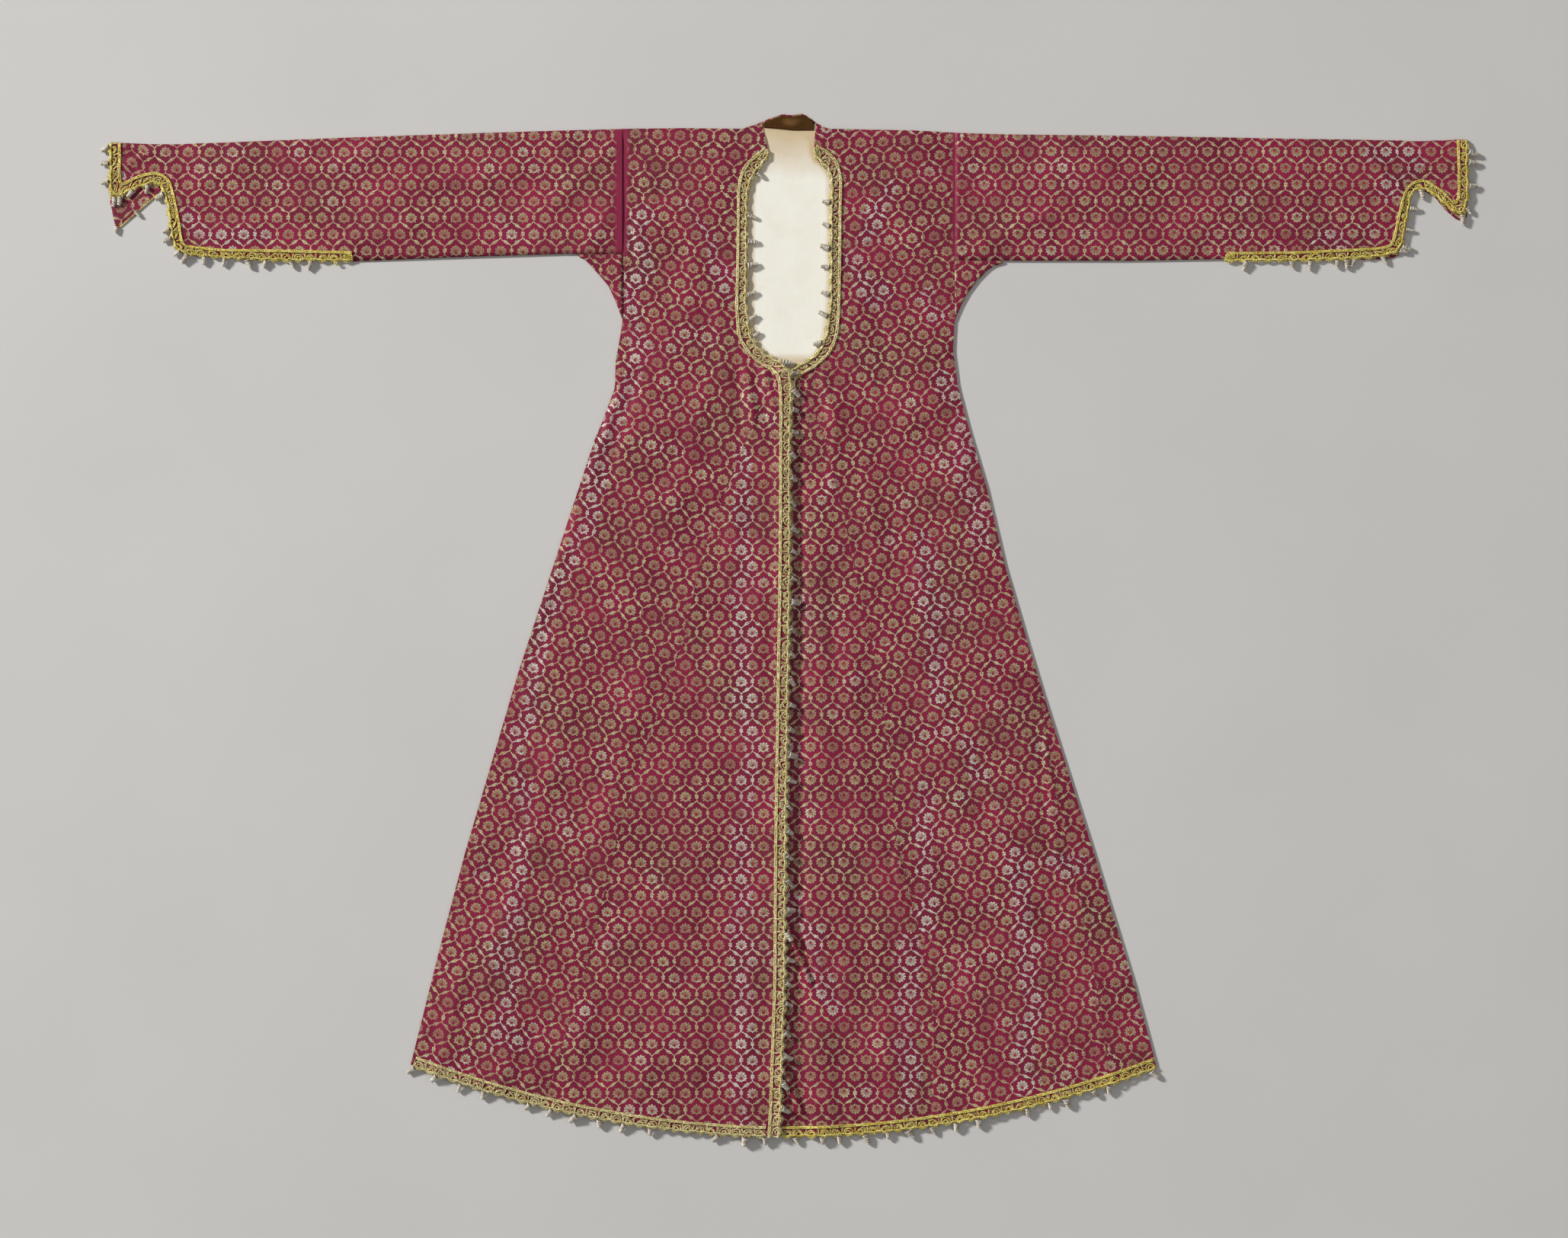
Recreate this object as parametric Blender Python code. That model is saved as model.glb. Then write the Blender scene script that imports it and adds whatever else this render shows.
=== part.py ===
"""An Ottoman-style brocade robe laid flat on its back, front side up.

Units are metres and +Z is up. The robe lies on z = 0: x runs from cuff to cuff, +Y points
to the neck, and the origin is under the middle of the robe's box. "Right" and "left" are the
wearer's, so the right front lies on the -X side and laps over the left front.
Every table below is in millimetres.
"""

import math

import bmesh
import bpy
from mathutils import Vector
from mathutils.bvhtree import BVHTree

MM = 0.001

CLOTH = 1.2
GAP = 0.3
SEAM_HALF = 0.15
LINING_WALL = 1.0
LACE_WALL = 1.0
LACE_CLEAR = 0.4
TASSEL_REACH = 12.0
TASSEL_THICK = 3.2
TASSEL_LOW = 0.4

BACK_TOP = CLOTH
LINING_LOW = BACK_TOP + GAP
FRONT_LOW = LINING_LOW + LINING_WALL + GAP
FRONT_RIM_LOW = BACK_TOP + GAP
RIM_WIDTH = 45.0
LAP_RISE = 2.9
LAP_RAMP = 50.0
LAP_MARGIN = 10.0
LAP_TOP_Y, LAP_FULL_Y = 374.0, 336.0

HEM_MIDDLE_Y = -667.0
HEM_RISE = 90.0
HEM_HALF_WIDTH = 485.0
HEM_BEND_TOP_Y = -260.0
SHOULDER_Y = 656.0
SHOULDER_BEND_Y = 612.0
HEM_LACE_INSIDE = 13.0
HEM_LACE_PROUD = 3.0
NECK_TASSELS = (390, 590)
EDGE_TASSELS = (-650, 300)
ROW_STEP = 45.0
HEM_STEPS = 26
GORE_TOP_Y = 347
NECK_FOOT_Y = 350
PROBES = ((0, 0), (5, 0), (-5, 0), (0, 5), (0, -5))
PROBE_FROM = 50.0

# Reference height of each row of points down the body, before the shoulder and hem curves.
BODY_ROWS = (656, 648, 637, 625, 615, 604, 591, 578, 540, 480, 425, 402, 384, 371, 364, 358, 350,
             347, 342, 334, 327, 319, 304, 275, 230, 170, 100, 30, -50, -130, -210, -290, -360,
             -430, -500, -560, -610, -645, -667)

# Each table below has the columns (y, x) unless it says otherwise.
RIGHT_SIDE = ((656, -216), (402, -216), (377, -220), (350, -225), (315, -226), (272, -242),
              (246, -253), (84, -306), (-59, -353), (-296, -423), (-417, -455), (-561, -491),
              (-600, -501))
LEFT_SIDE = ((656, 220), (402, 220), (364, 218), (318, 224), (264, 238), (184, 262), (82, 286),
             (-13, 314), (-89, 337), (-296, 403), (-468, 456), (-568, 483), (-600, 491))
RIGHT_FRONT_EDGE = ((664, -33), (657, -32), (637, -27), (625, -25), (615, -26), (604, -35),
                    (591, -43), (581, -50), (564, -52), (474, -53), (409, -52), (384, -48),
                    (371, -41), (358, -30), (350, -12), (341, -2), (327, 6), (313, 6), (294, 3),
                    (224, 3), (84, 2), (-316, -1), (-476, -5), (-616, -9), (-680, -10))
LEFT_FRONT_EDGE = ((664, 37), (654, 37), (636, 36), (624, 35), (611, 40), (605, 50), (596, 55),
                   (586, 58), (564, 57), (424, 57), (394, 53), (378, 51), (361, 42), (350, 25),
                   (341, 7), (327, 0), (319, -6), (294, -15), (-680, -30))
RIGHT_GORE_SEAM = ((350, -12), (334, -17), (176, -82), (122, -103), (64, -119), (-18, -136),
                   (-166, -190), (-235, -210), (-296, -228), (-423, -257), (-475, -273),
                   (-570, -302), (-680, -334))
LEFT_GORE_SEAM = ((350, 25), (345, 16), (331, 15), (256, 47), (136, 77), (59, 92), (-69, 120),
                  (-171, 136), (-276, 142), (-359, 163), (-446, 187), (-530, 193), (-680, 188))
LINING_SIDES = ((661, -31, 36), (640, -46, 56), (600, -68, 74), (560, -73, 78), (410, -73, 78),
                (370, -62, 70), (345, -34, 44), (334, -14, 24))

# (x, y) along the top of the body, from sleeve seam to sleeve seam, with the raised back neck.
SHOULDER_LINE = ((-216, 655), (-133, 656), (-60, 655), (-46, 659), (-35, 663), (-25, 668),
                 (-6, 674.5), (7, 673), (19, 675.5), (29, 671), (36, 664), (49, 657), (57, 655),
                 (167, 653), (220, 650))
FACING_FOOT = ((-31, 656.5), (-13, 655), (8, 653), (35, 653))
FACING_BELOW_RIM = 2.0
FACING_STEPS = 12

# Soft folds of the fronts: a ridge from (x0, y0) to (x1, y1), its half width and its height.
FOLDS = (
    {"x0": 42, "y0": 250, "x1": 48, "y1": -680, "half_width": 20, "height": 2.0},
    {"x0": 30, "y0": -390, "x1": 62, "y1": -690, "half_width": 14, "height": 0.6},
    {"x0": -160, "y0": -560, "x1": -190, "y1": -640, "half_width": 22, "height": 1.0},
    {"x0": -215, "y0": 330, "x1": -150, "y1": 250, "half_width": 20, "height": 1.0},
    {"x0": 205, "y0": 345, "x1": 150, "y1": 255, "half_width": 20, "height": 1.0},
    {"x0": -235, "y0": 60, "x1": -375, "y1": -520, "half_width": 42, "height": 1.4},
    {"x0": 225, "y0": 40, "x1": 330, "y1": -520, "half_width": 42, "height": 1.4},
    {"x0": -110, "y0": -150, "x1": -150, "y1": -600, "half_width": 38, "height": 1.1},
)

# Sleeve sections, columns (x, top, lower edge of the upper layer, lower edge of the under layer).
RIGHT_SLEEVE = ((-889, 637, 569, 560), (-882, 637, 563, 526), (-878, 637, 565, 525),
                (-856, 636, 578, 542), (-831, 635, 586, 566), (-824, 635, 588, 574),
                (-820, 635, 577, 576), (-813, 635, 558, 556), (-809, 635, 520, 518),
                (-805, 635, 502, 499), (-797, 635, 495, 492), (-779, 636, 490, 488),
                (-741, 637, 487, 485), (-670, 640, 483, 482), (-570, 644, 482, 481),
                (-423, 649, 487, 487), (-295, 653, 491, 491), (-216, 655, 490.5, 490.5))
LEFT_SLEEVE = ((893, 641, 546, 540), (887, 641, 540, 534), (878, 641, 543, 537),
               (864, 640, 555, 549), (851, 640, 568, 565), (836, 639, 577, 574),
               (827, 639, 577, 575), (822, 639, 572, 571), (818, 639, 562, 561),
               (815, 639, 543, 542), (811, 639, 524, 522), (807, 640, 502, 499),
               (803, 640, 494, 489), (791, 640, 489, 484), (747, 641, 485, 483),
               (667, 642, 483, 482), (573, 644, 484, 484), (446, 646, 482, 482),
               (285, 648, 482, 482), (220, 650, 483, 483))
SLEEVE_GAP = 0.6
SLEEVE_LOFT = 1.0
SLEEVE_STEPS = 5
FOLD_STEPS = 4

# Underarm gussets, columns (x, upper seam, folded lower edge).
RIGHT_GUSSET = ((-273, 490.2, 486.5), (-265, 490.2, 483), (-253, 490.2, 470), (-243, 490.2, 459),
                (-234, 490.2, 448), (-225, 490.2, 428), (-219, 490.2, 412),
                (-216.3, 490.2, 405))
LEFT_GUSSET = ((283, 481.7, 478), (272, 481.7, 475), (264, 481.8, 470), (250, 482, 456),
               (238, 482.2, 440), (229, 482.4, 424), (222, 482.6, 408),
               (220.3, 482.6, 403))

# Lace, columns (scalloped edge x, y, corded edge x, y).
RIGHT_EDGE_LACE = ((-23, 625, -30, 630), (-23, 614, -39, 623), (-33, 604, -48, 616),
                   (-41, 591, -59, 604), (-48, 581, -64, 588), (-50, 564, -65.4, 569),
                   (-51, 474, -66.5, 474), (-51, 424, -68, 424), (-45.4, 387, -66, 384),
                   (-38, 371, -58, 368), (-28, 360, -44, 351), (-15, 356, -30, 342),
                   (-3, 348, -19, 337), (7, 338, -14, 330), (10, 324, -12, 321),
                   (8, 294, -10, 292), (6, 224, -10, 224), (7, 84, -11, 84), (4, -100, -14, -100),
                   (1, -296, -17, -296), (0, -468, -18, -468), (-6, -640, -24, -640),
                   (-8, -669, -26, -669))
LEFT_EDGE_LACE = ((33, 624, 39, 634), (38, 611, 55, 626), (47, 606, 64, 618), (53, 596, 70, 606),
                  (57, 584, 73, 588), (55, 564, 72, 566), (54.5, 474, 71, 474),
                  (54.5, 426, 70, 426), (49, 388, 68, 386), (39, 361, 59, 362), (22, 350, 40, 343),
                  (7, 343, 21, 333), (-2, 335, 12, 327), (-7, 319, 10, 317), (-9, 294, 8, 294),
                  (-15, 264, 3, 264))
RIGHT_CUFF_LACE = ((-891, 632, -874, 632), (-891, 602, -874, 610), (-892, 575, -874, 594),
                   (-883, 560, -873, 583), (-856, 574, -850, 595), (-833, 582, -831, 599),
                   (-826, 585, -820, 599), (-822, 577, -809, 591), (-815, 557, -802, 562),
                   (-811, 520, -796, 532), (-807, 500, -793, 503), (-798, 492, -786, 502),
                   (-779, 487, -779, 501), (-741, 484, -742, 497), (-670, 480, -670, 496.5),
                   (-570, 480, -570, 494))
LEFT_CUFF_LACE = ((895, 636, 879, 636), (895, 600, 880, 600), (896, 560, 880, 565),
                  (888, 537, 874, 558), (864, 552, 862, 573), (851, 566, 842, 587),
                  (836, 575, 832, 589.5), (826, 575, 818, 585), (819, 566, 809.5, 572),
                  (817, 543, 803, 549), (813, 524, 798, 524), (809, 500, 793, 503),
                  (803, 491, 786, 500.5), (790, 487, 772, 499), (747, 482.5, 747, 497.5),
                  (667, 480, 667, 494), (600, 480, 600, 493), (573, 479, 577, 493))

# Tassel runs at the cuffs, columns (near edge x, y, far edge x, y).
CUFF_TASSELS = {
    "tassels_right_cuff_end": ((-891.4, 632, -900, 632), (-891.4, 602, -900, 602),
                               (-892.4, 575, -900, 575)),
    "tassels_right_cuff_slit": ((-800, 491, -810, 480), (-779, 486.6, -779, 472),
                                (-741, 483.6, -741, 469), (-670, 479.6, -670, 465),
                                (-572, 479.6, -572, 465)),
    "tassels_left_cuff_end": ((895.4, 632, 900, 632), (895.4, 600, 900, 600),
                              (896.4, 560, 900, 560)),
    "tassels_left_cuff_slit": ((805.5, 487.5, 814, 477), (790, 483.4, 790, 470),
                               (747, 482.1, 747, 467), (667, 479.6, 667, 465),
                               (577, 478.6, 577, 460)),
}

SILK = ("crimson_brocade", (0.30, 0.035, 0.085), 0.55, 0.1)
CREAM = ("cream_lining", (0.80, 0.73, 0.58), 0.85, 0.0)
BROWN = ("brown_facing", (0.16, 0.08, 0.03), 0.6, 0.0)
GOLD = ("gilt_lace", (0.66, 0.52, 0.16), 0.4, 0.7)
SILVER = ("silver_gilt_coils", (0.70, 0.66, 0.55), 0.35, 0.8)


def clear_scene():
    for thing in list(bpy.data.objects):
        bpy.data.objects.remove(thing, do_unlink=True)


def material(finish):
    name, colour, roughness, metallic = finish
    found = bpy.data.materials.get(name)
    if found:
        return found
    made = bpy.data.materials.new(name)
    made.use_nodes = True
    shader = made.node_tree.nodes["Principled BSDF"]
    shader.inputs["Base Color"].default_value = (*colour, 1.0)
    shader.inputs["Roughness"].default_value = roughness
    shader.inputs["Metallic"].default_value = metallic
    made.diffuse_color = (*colour, 1.0)
    return made


def read(table, at, column=1):
    """Linear reading of a table whose first column runs steadily up or down."""
    rows = sorted(table)
    if at <= rows[0][0]:
        return rows[0][column]
    for low, high in zip(rows, rows[1:]):
        if at <= high[0]:
            share = (at - low[0]) / (high[0] - low[0])
            return low[column] + share * (high[column] - low[column])
    return rows[-1][column]


def smooth(share):
    share = min(max(share, 0.0), 1.0)
    return share * share * (3 - 2 * share)


def hem_y(x):
    return HEM_MIDDLE_Y + HEM_RISE * (x / HEM_HALF_WIDTH) ** 2


def body_y(row_y, x):
    """The height of a body row at x, with the shoulder line and the hem's curve worked in."""
    top_share = smooth((row_y - SHOULDER_BEND_Y) / (SHOULDER_Y - SHOULDER_BEND_Y))
    hem_share = smooth((HEM_BEND_TOP_Y - row_y) / (HEM_BEND_TOP_Y - HEM_MIDDLE_Y))
    return (row_y + top_share * (read(SHOULDER_LINE, x) - SHOULDER_Y)
            + hem_share * (hem_y(x) - HEM_MIDDLE_Y))


def fold_height(x, y):
    """The sum of the soft ridges at a point."""
    total = 0.0
    for fold in FOLDS:
        run_x, run_y = fold["x1"] - fold["x0"], fold["y1"] - fold["y0"]
        length = math.hypot(run_x, run_y)
        along = ((x - fold["x0"]) * run_x + (y - fold["y0"]) * run_y) / length ** 2
        across = ((x - fold["x0"]) * run_y - (y - fold["y0"]) * run_x) / length
        fade = smooth(along / 0.2) * smooth((1.25 - along) / 0.2)
        total += fold["height"] * fade * math.exp(-(across / fold["half_width"]) ** 2)
    return total


def front_low(x, y, right):
    """Height of a front's underside: down at the side edge, up over the lap and on the folds."""
    side = read(RIGHT_SIDE if x < 0 else LEFT_SIDE, y)
    inwards = smooth(abs(abs(side) - abs(x)) / RIM_WIDTH)
    low = FRONT_RIM_LOW + inwards * (FRONT_LOW - FRONT_RIM_LOW + fold_height(x, y))
    if right:
        ramp_start = read(LEFT_FRONT_EDGE, y) - LAP_MARGIN - LAP_RAMP
        over = smooth((x - ramp_start) / LAP_RAMP)
        below = smooth((LAP_TOP_Y - y) / (LAP_TOP_Y - LAP_FULL_Y))
        low += LAP_RISE * over * below
    return low


def shell(name, top_grid, under_grid, finish):
    """A closed solid between two grids of (x, y, z) points, in millimetres."""
    rows, columns = len(top_grid), len(top_grid[0])
    mesh = bmesh.new()
    tops = [[mesh.verts.new([c * MM for c in p]) for p in row] for row in top_grid]
    unders = [[mesh.verts.new([c * MM for c in p]) for p in row] for row in under_grid]
    for i in range(rows - 1):
        for j in range(columns - 1):
            for grid in (tops, unders):
                mesh.faces.new((grid[i][j], grid[i][j + 1], grid[i + 1][j + 1], grid[i + 1][j]))
    rim = [(0, j) for j in range(columns)]
    rim += [(i, columns - 1) for i in range(1, rows)]
    rim += [(rows - 1, j) for j in range(columns - 2, -1, -1)]
    rim += [(i, 0) for i in range(rows - 2, 0, -1)]
    for (i, j), (k, m) in zip(rim, rim[1:] + rim[:1]):
        mesh.faces.new((tops[i][j], tops[k][m], unders[k][m], unders[i][j]))
    bmesh.ops.recalc_face_normals(mesh, faces=mesh.faces)
    return finished(name, mesh, finish)


def finished(name, mesh, finish):
    data = bpy.data.meshes.new(name)
    mesh.to_mesh(data)
    mesh.free()
    data.materials.append(material(finish))
    made = bpy.data.objects.new(name, data)
    bpy.context.scene.collection.objects.link(made)
    return made


def plate(name, outline, low, wall, finish):
    """A flat plate of cloth cut to an outline of (x, y) points."""
    mesh = bmesh.new()
    face = mesh.faces.new([mesh.verts.new((x * MM, y * MM, low * MM)) for x, y in outline])
    grown = bmesh.ops.extrude_face_region(mesh, geom=[face])
    raised = [v for v in grown["geom"] if isinstance(v, bmesh.types.BMVert)]
    bmesh.ops.translate(mesh, verts=raised, vec=(0, 0, wall * MM))
    bmesh.ops.recalc_face_normals(mesh, faces=mesh.faces)
    return finished(name, mesh, finish)


def body_points(row_y, left, right, columns):
    """Points of one body row between two side tables; x and y settle together."""
    points = []
    for j in range(columns + 1):
        share = j / columns
        x, y = 0.0, row_y
        for _ in range(12):
            x = left(y) + share * (right(y) - left(y))
            y = body_y(row_y, x)
        points.append((x, y))
    return points


def front_panel(name, rows, left, right, columns, is_right):
    top_grid, under_grid = [], []
    for row_y in rows:
        points = body_points(row_y, left, right, columns)
        lows = [front_low(x, y, is_right) for x, y in points]
        under_grid.append([(x, y, low) for (x, y), low in zip(points, lows)])
        top_grid.append([(x, y, low + CLOTH) for (x, y), low in zip(points, lows)])
    return shell(name, top_grid, under_grid, SILK)


def make_fronts():
    gore_rows = [y for y in BODY_ROWS if y <= GORE_TOP_Y]

    def right_inner(y):
        table = RIGHT_FRONT_EDGE if y > NECK_FOOT_Y else RIGHT_GORE_SEAM
        return read(table, y) - SEAM_HALF

    def left_inner(y):
        table = LEFT_FRONT_EDGE if y > NECK_FOOT_Y else LEFT_GORE_SEAM
        return read(table, y) + SEAM_HALF

    front_panel("front_right_panel", BODY_ROWS, lambda y: read(RIGHT_SIDE, y) + SEAM_HALF,
                right_inner, 7, True)
    front_panel("front_left_panel", BODY_ROWS, left_inner,
                lambda y: read(LEFT_SIDE, y) - SEAM_HALF, 7, False)
    front_panel("front_right_gore", gore_rows, lambda y: read(RIGHT_GORE_SEAM, y) + SEAM_HALF,
                lambda y: read(RIGHT_FRONT_EDGE, y), 11, True)
    front_panel("front_left_gore", gore_rows, lambda y: read(LEFT_FRONT_EDGE, y),
                lambda y: read(LEFT_GORE_SEAM, y) - SEAM_HALF, 8, False)


def make_back():
    """The back: one flat piece from shoulder to hem."""
    rows = [body_points(y, lambda y: read(RIGHT_SIDE, y) + SEAM_HALF,
                        lambda y: read(LEFT_SIDE, y) - SEAM_HALF, 24)
            for y in BODY_ROWS]
    top = [rows[0][0], *SHOULDER_LINE[1:-1], rows[0][-1]]
    right_side = [row[0] for row in rows[1:-1]]
    left_side = [row[-1] for row in rows[1:-1]]
    outline = top + left_side + rows[-1][::-1] + right_side[::-1]
    plate("back", outline, 0.0, CLOTH, SILK)


def make_lining_and_facing():
    outline = [(right, y) for y, _, right in LINING_SIDES]
    outline += [(left, y) for y, left, _ in reversed(LINING_SIDES)]
    plate("back_lining", outline, LINING_LOW, LINING_WALL, CREAM)
    start, end = FACING_FOOT[0][0], FACING_FOOT[-1][0]
    steps = [start + (end - start) * i / FACING_STEPS for i in range(FACING_STEPS + 1)]
    rim = [(x, read(SHOULDER_LINE, x) - FACING_BELOW_RIM) for x in steps]
    plate("neck_facing", rim + list(reversed(FACING_FOOT)), FRONT_LOW, LINING_WALL, BROWN)


def folded_piece(name, sections, fold_at_top):
    """A piece folded along one long edge: an upper layer, the round fold and an under layer.

    Each section is (x, folded edge, cut edge of the upper layer, cut edge of the under layer).
    """
    outer_grid, inner_grid = [], []
    turn = 1 if fold_at_top else -1
    height = 2 * CLOTH + SLEEVE_GAP
    radius = height / 2
    for x, fold_y, upper_y, under_y in sections:
        outer, inner = [], []
        centre_y = fold_y - turn * radius
        for i in range(SLEEVE_STEPS + 1):
            share = i / SLEEVE_STEPS
            y = upper_y + share * (centre_y - upper_y)
            loft = SLEEVE_LOFT * math.sin(math.pi * share) * min(abs(centre_y - upper_y) / 80, 1)
            outer.append((x, y, height + loft))
            inner.append((x, y, height - CLOTH + loft))
        for i in range(1, FOLD_STEPS):
            angle = math.pi * i / FOLD_STEPS
            y_part, z_part = turn * math.sin(angle), math.cos(angle)
            outer.append((x, centre_y + radius * y_part, radius + radius * z_part))
            short = radius - CLOTH
            inner.append((x, centre_y + short * y_part, radius + short * z_part))
        for i in range(SLEEVE_STEPS + 1):
            y = centre_y + (under_y - centre_y) * i / SLEEVE_STEPS
            outer.append((x, y, 0.0))
            inner.append((x, y, CLOTH))
        outer_grid.append(outer)
        inner_grid.append(inner)
    return shell(name, outer_grid, inner_grid, SILK)


def clear_of_body(sections, shift):
    """The sections with the last one, at the armhole seam, moved clear of the body."""
    x, *edges = sections[-1]
    return [*sections[:-1], (x + shift, *edges)]


def make_sleeves():
    folded_piece("sleeve_right", clear_of_body(RIGHT_SLEEVE, -SEAM_HALF), True)
    folded_piece("sleeve_left", clear_of_body(LEFT_SLEEVE, SEAM_HALF), True)
    for name, table in (("gusset_right", RIGHT_GUSSET), ("gusset_left", LEFT_GUSSET)):
        folded_piece(name, [(x, edge, seam, seam) for x, seam, edge in table], False)


def cloth_height(*names):
    """A function for the height of the cloth's upper surface around a point, or None."""
    trees = []
    for name in names:
        mesh = bmesh.new()
        mesh.from_mesh(bpy.data.objects[name].data)
        trees.append(BVHTree.FromBMesh(mesh))
        mesh.free()

    def height(x, y):
        found = []
        for dx, dy in PROBES:
            start = Vector(((x + dx) * MM, (y + dy) * MM, PROBE_FROM * MM))
            hits = [tree.ray_cast(start, Vector((0, 0, -1)))[0] for tree in trees]
            found += [hit.z / MM for hit in hits if hit is not None]
        return max(found) if found else None

    return height


def strip(name, table, height, clear, wall, finish):
    """A narrow wall between two edges, from rows of (near x, near y, far x, far y).

    It lies `clear` above the height function; past the cloth's edge it keeps the row's height.
    """
    top_grid, under_grid = [], []
    for near_x, near_y, far_x, far_y in table:
        points = ((near_x, near_y), ((near_x + far_x) / 2, (near_y + far_y) / 2), (far_x, far_y))
        heights = [height(x, y) for x, y in points]
        known = [z for z in heights if z is not None]
        under = [(x, y, clear + (known[0] if z is None else z))
                 for (x, y), z in zip(points, heights)]
        under_grid.append(under)
        top_grid.append([(x, y, z + wall) for x, y, z in under])
    return shell(name, top_grid, under_grid, finish)


def subdivided(table, longest):
    """The rows of a strip with more put in between where two are far apart."""
    rows = [table[0]]
    for start, end in zip(table, table[1:]):
        count = math.ceil(math.hypot(end[0] - start[0], end[1] - start[1]) / longest)
        rows += [tuple(a + (b - a) * i / count for a, b in zip(start, end))
                 for i in range(1, count + 1)]
    return rows


def hem_rows(x_start, x_end, near, far):
    """Rows across the hem from `near` to `far` millimetres below the cloth's edge."""
    rows = []
    for i in range(HEM_STEPS + 1):
        x = x_start + (x_end - x_start) * i / HEM_STEPS
        slope = 2 * HEM_RISE * x / HEM_HALF_WIDTH ** 2
        down = math.hypot(1, slope)
        side_x, side_y = slope / down, -1 / down
        rows.append((x + side_x * near, hem_y(x) + side_y * near,
                     x + side_x * far, hem_y(x) + side_y * far))
    return rows


def make_lace():
    right_front = cloth_height("front_right_panel", "front_right_gore")
    left_front = cloth_height("front_left_panel", "front_left_gore")
    right_hem = hem_rows(-491, -28, HEM_LACE_PROUD, -HEM_LACE_INSIDE)
    left_hem = hem_rows(1, 484, HEM_LACE_PROUD, -HEM_LACE_INSIDE)
    laces = {
        "lace_right_edge": (subdivided(RIGHT_EDGE_LACE, ROW_STEP), right_front),
        "lace_left_edge": (subdivided(LEFT_EDGE_LACE, ROW_STEP), left_front),
        "lace_right_hem": (right_hem, right_front),
        "lace_left_hem": (left_hem, left_front),
        "lace_right_cuff": (RIGHT_CUFF_LACE, cloth_height("sleeve_right")),
        "lace_left_cuff": (LEFT_CUFF_LACE, cloth_height("sleeve_left")),
    }
    for name, (rows, height) in laces.items():
        strip(name, rows, height, LACE_CLEAR, LACE_WALL, GOLD)


def edge_tassels(name, table, keep, height):
    """The reach of the tassels beyond the scalloped edge of a lace."""
    rows = []
    for near_x, near_y, far_x, far_y in table:
        if not keep(near_y):
            continue
        length = math.hypot(near_x - far_x, near_y - far_y)
        out_x, out_y = (near_x - far_x) / length, (near_y - far_y) / length
        rows.append((near_x + out_x * GAP, near_y + out_y * GAP,
                     near_x + out_x * TASSEL_REACH, near_y + out_y * TASSEL_REACH))
    strip(name, subdivided(rows, ROW_STEP), height, LACE_CLEAR, TASSEL_THICK, SILVER)


def make_tassels():
    on_lining = cloth_height("back_lining")
    on_left_front = cloth_height("front_left_panel", "front_left_gore")
    for name, table in (("tassels_right_neck", RIGHT_EDGE_LACE),
                        ("tassels_left_neck", LEFT_EDGE_LACE)):
        edge_tassels(name, table, lambda y: NECK_TASSELS[0] < y < NECK_TASSELS[1], on_lining)
    edge_tassels("tassels_front_edge", RIGHT_EDGE_LACE,
                 lambda y: EDGE_TASSELS[0] < y < EDGE_TASSELS[1], on_left_front)
    runs = {name: hem_rows(start, end, HEM_LACE_PROUD + GAP, HEM_LACE_PROUD + TASSEL_REACH)
            for name, start, end in (("tassels_right_hem", -491, -28),
                                     ("tassels_left_hem", 1, 484))}
    for name, rows in (runs | CUFF_TASSELS).items():
        strip(name, rows, lambda x, y: 0.0, TASSEL_LOW, TASSEL_THICK, SILVER)


clear_scene()
make_back()
make_fronts()
make_lining_and_facing()
make_sleeves()
make_lace()
make_tassels()
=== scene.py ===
"""The looks of a brocade robe laid flat: cloth shells, woven flower lattice, wire lace, coil tassels.

Tables and lengths are in millimetres, as in the part's source, and meshes are scaled to metres
when they are made. "Right" and "left" are the wearer's: the wearer's right is at -X.
"""

import math

import bpy
import numpy as np
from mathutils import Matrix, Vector


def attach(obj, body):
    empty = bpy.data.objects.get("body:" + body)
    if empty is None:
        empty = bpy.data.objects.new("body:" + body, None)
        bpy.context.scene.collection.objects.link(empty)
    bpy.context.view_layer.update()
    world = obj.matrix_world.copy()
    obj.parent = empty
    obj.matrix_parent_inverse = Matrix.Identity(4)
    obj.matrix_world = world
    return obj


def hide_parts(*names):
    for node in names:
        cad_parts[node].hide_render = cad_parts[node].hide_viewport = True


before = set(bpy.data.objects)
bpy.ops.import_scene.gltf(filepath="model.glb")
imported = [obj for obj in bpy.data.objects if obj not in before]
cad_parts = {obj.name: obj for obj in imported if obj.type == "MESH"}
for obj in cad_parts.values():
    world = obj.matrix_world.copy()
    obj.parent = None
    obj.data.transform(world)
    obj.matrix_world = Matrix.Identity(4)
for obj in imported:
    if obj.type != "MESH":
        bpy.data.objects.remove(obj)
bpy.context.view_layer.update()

MM = 0.001

# Levels and walls of the cloth, from the part.
CLOTH = 1.2
GAP = 0.3
SEAM_HALF = 0.02
LINING_WALL = 1.0
BACK_TOP = CLOTH
LINING_LOW = BACK_TOP + GAP
LINING_TOP = LINING_LOW + LINING_WALL
FRONT_LOW = LINING_TOP + GAP
FRONT_RIM_LOW = BACK_TOP + GAP
RIM_WIDTH = 45.0
LAP_RISE = 2.9
LAP_RAMP = 50.0
LAP_MARGIN = 10.0
LAP_TOP_Y, LAP_FULL_Y = 374.0, 336.0
# How far the lapped edge stands up off the cloth below it, and where that starts and ends.
LAP_ROLL = 3.6
LAP_ROLL_X, LAP_ROLL_WIDTH = -24.0, 18.0
LAP_ROLL_END_Y, LAP_ROLL_END = -700.0, 60.0
# Folds level off above this height, so that the cloth keeps to the part's room.
FOLD_LIMIT = 10.1
# How high a front lies above its rim before any fold: at the rim, and more towards its middle.
FRONT_RIM_LIFT, FRONT_LIFT, LEAST_LIFT = 0.6, 0.5, 0.1
# The front may dip this far into the gap above the lining.
LINING_DIP = 0.15
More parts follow.
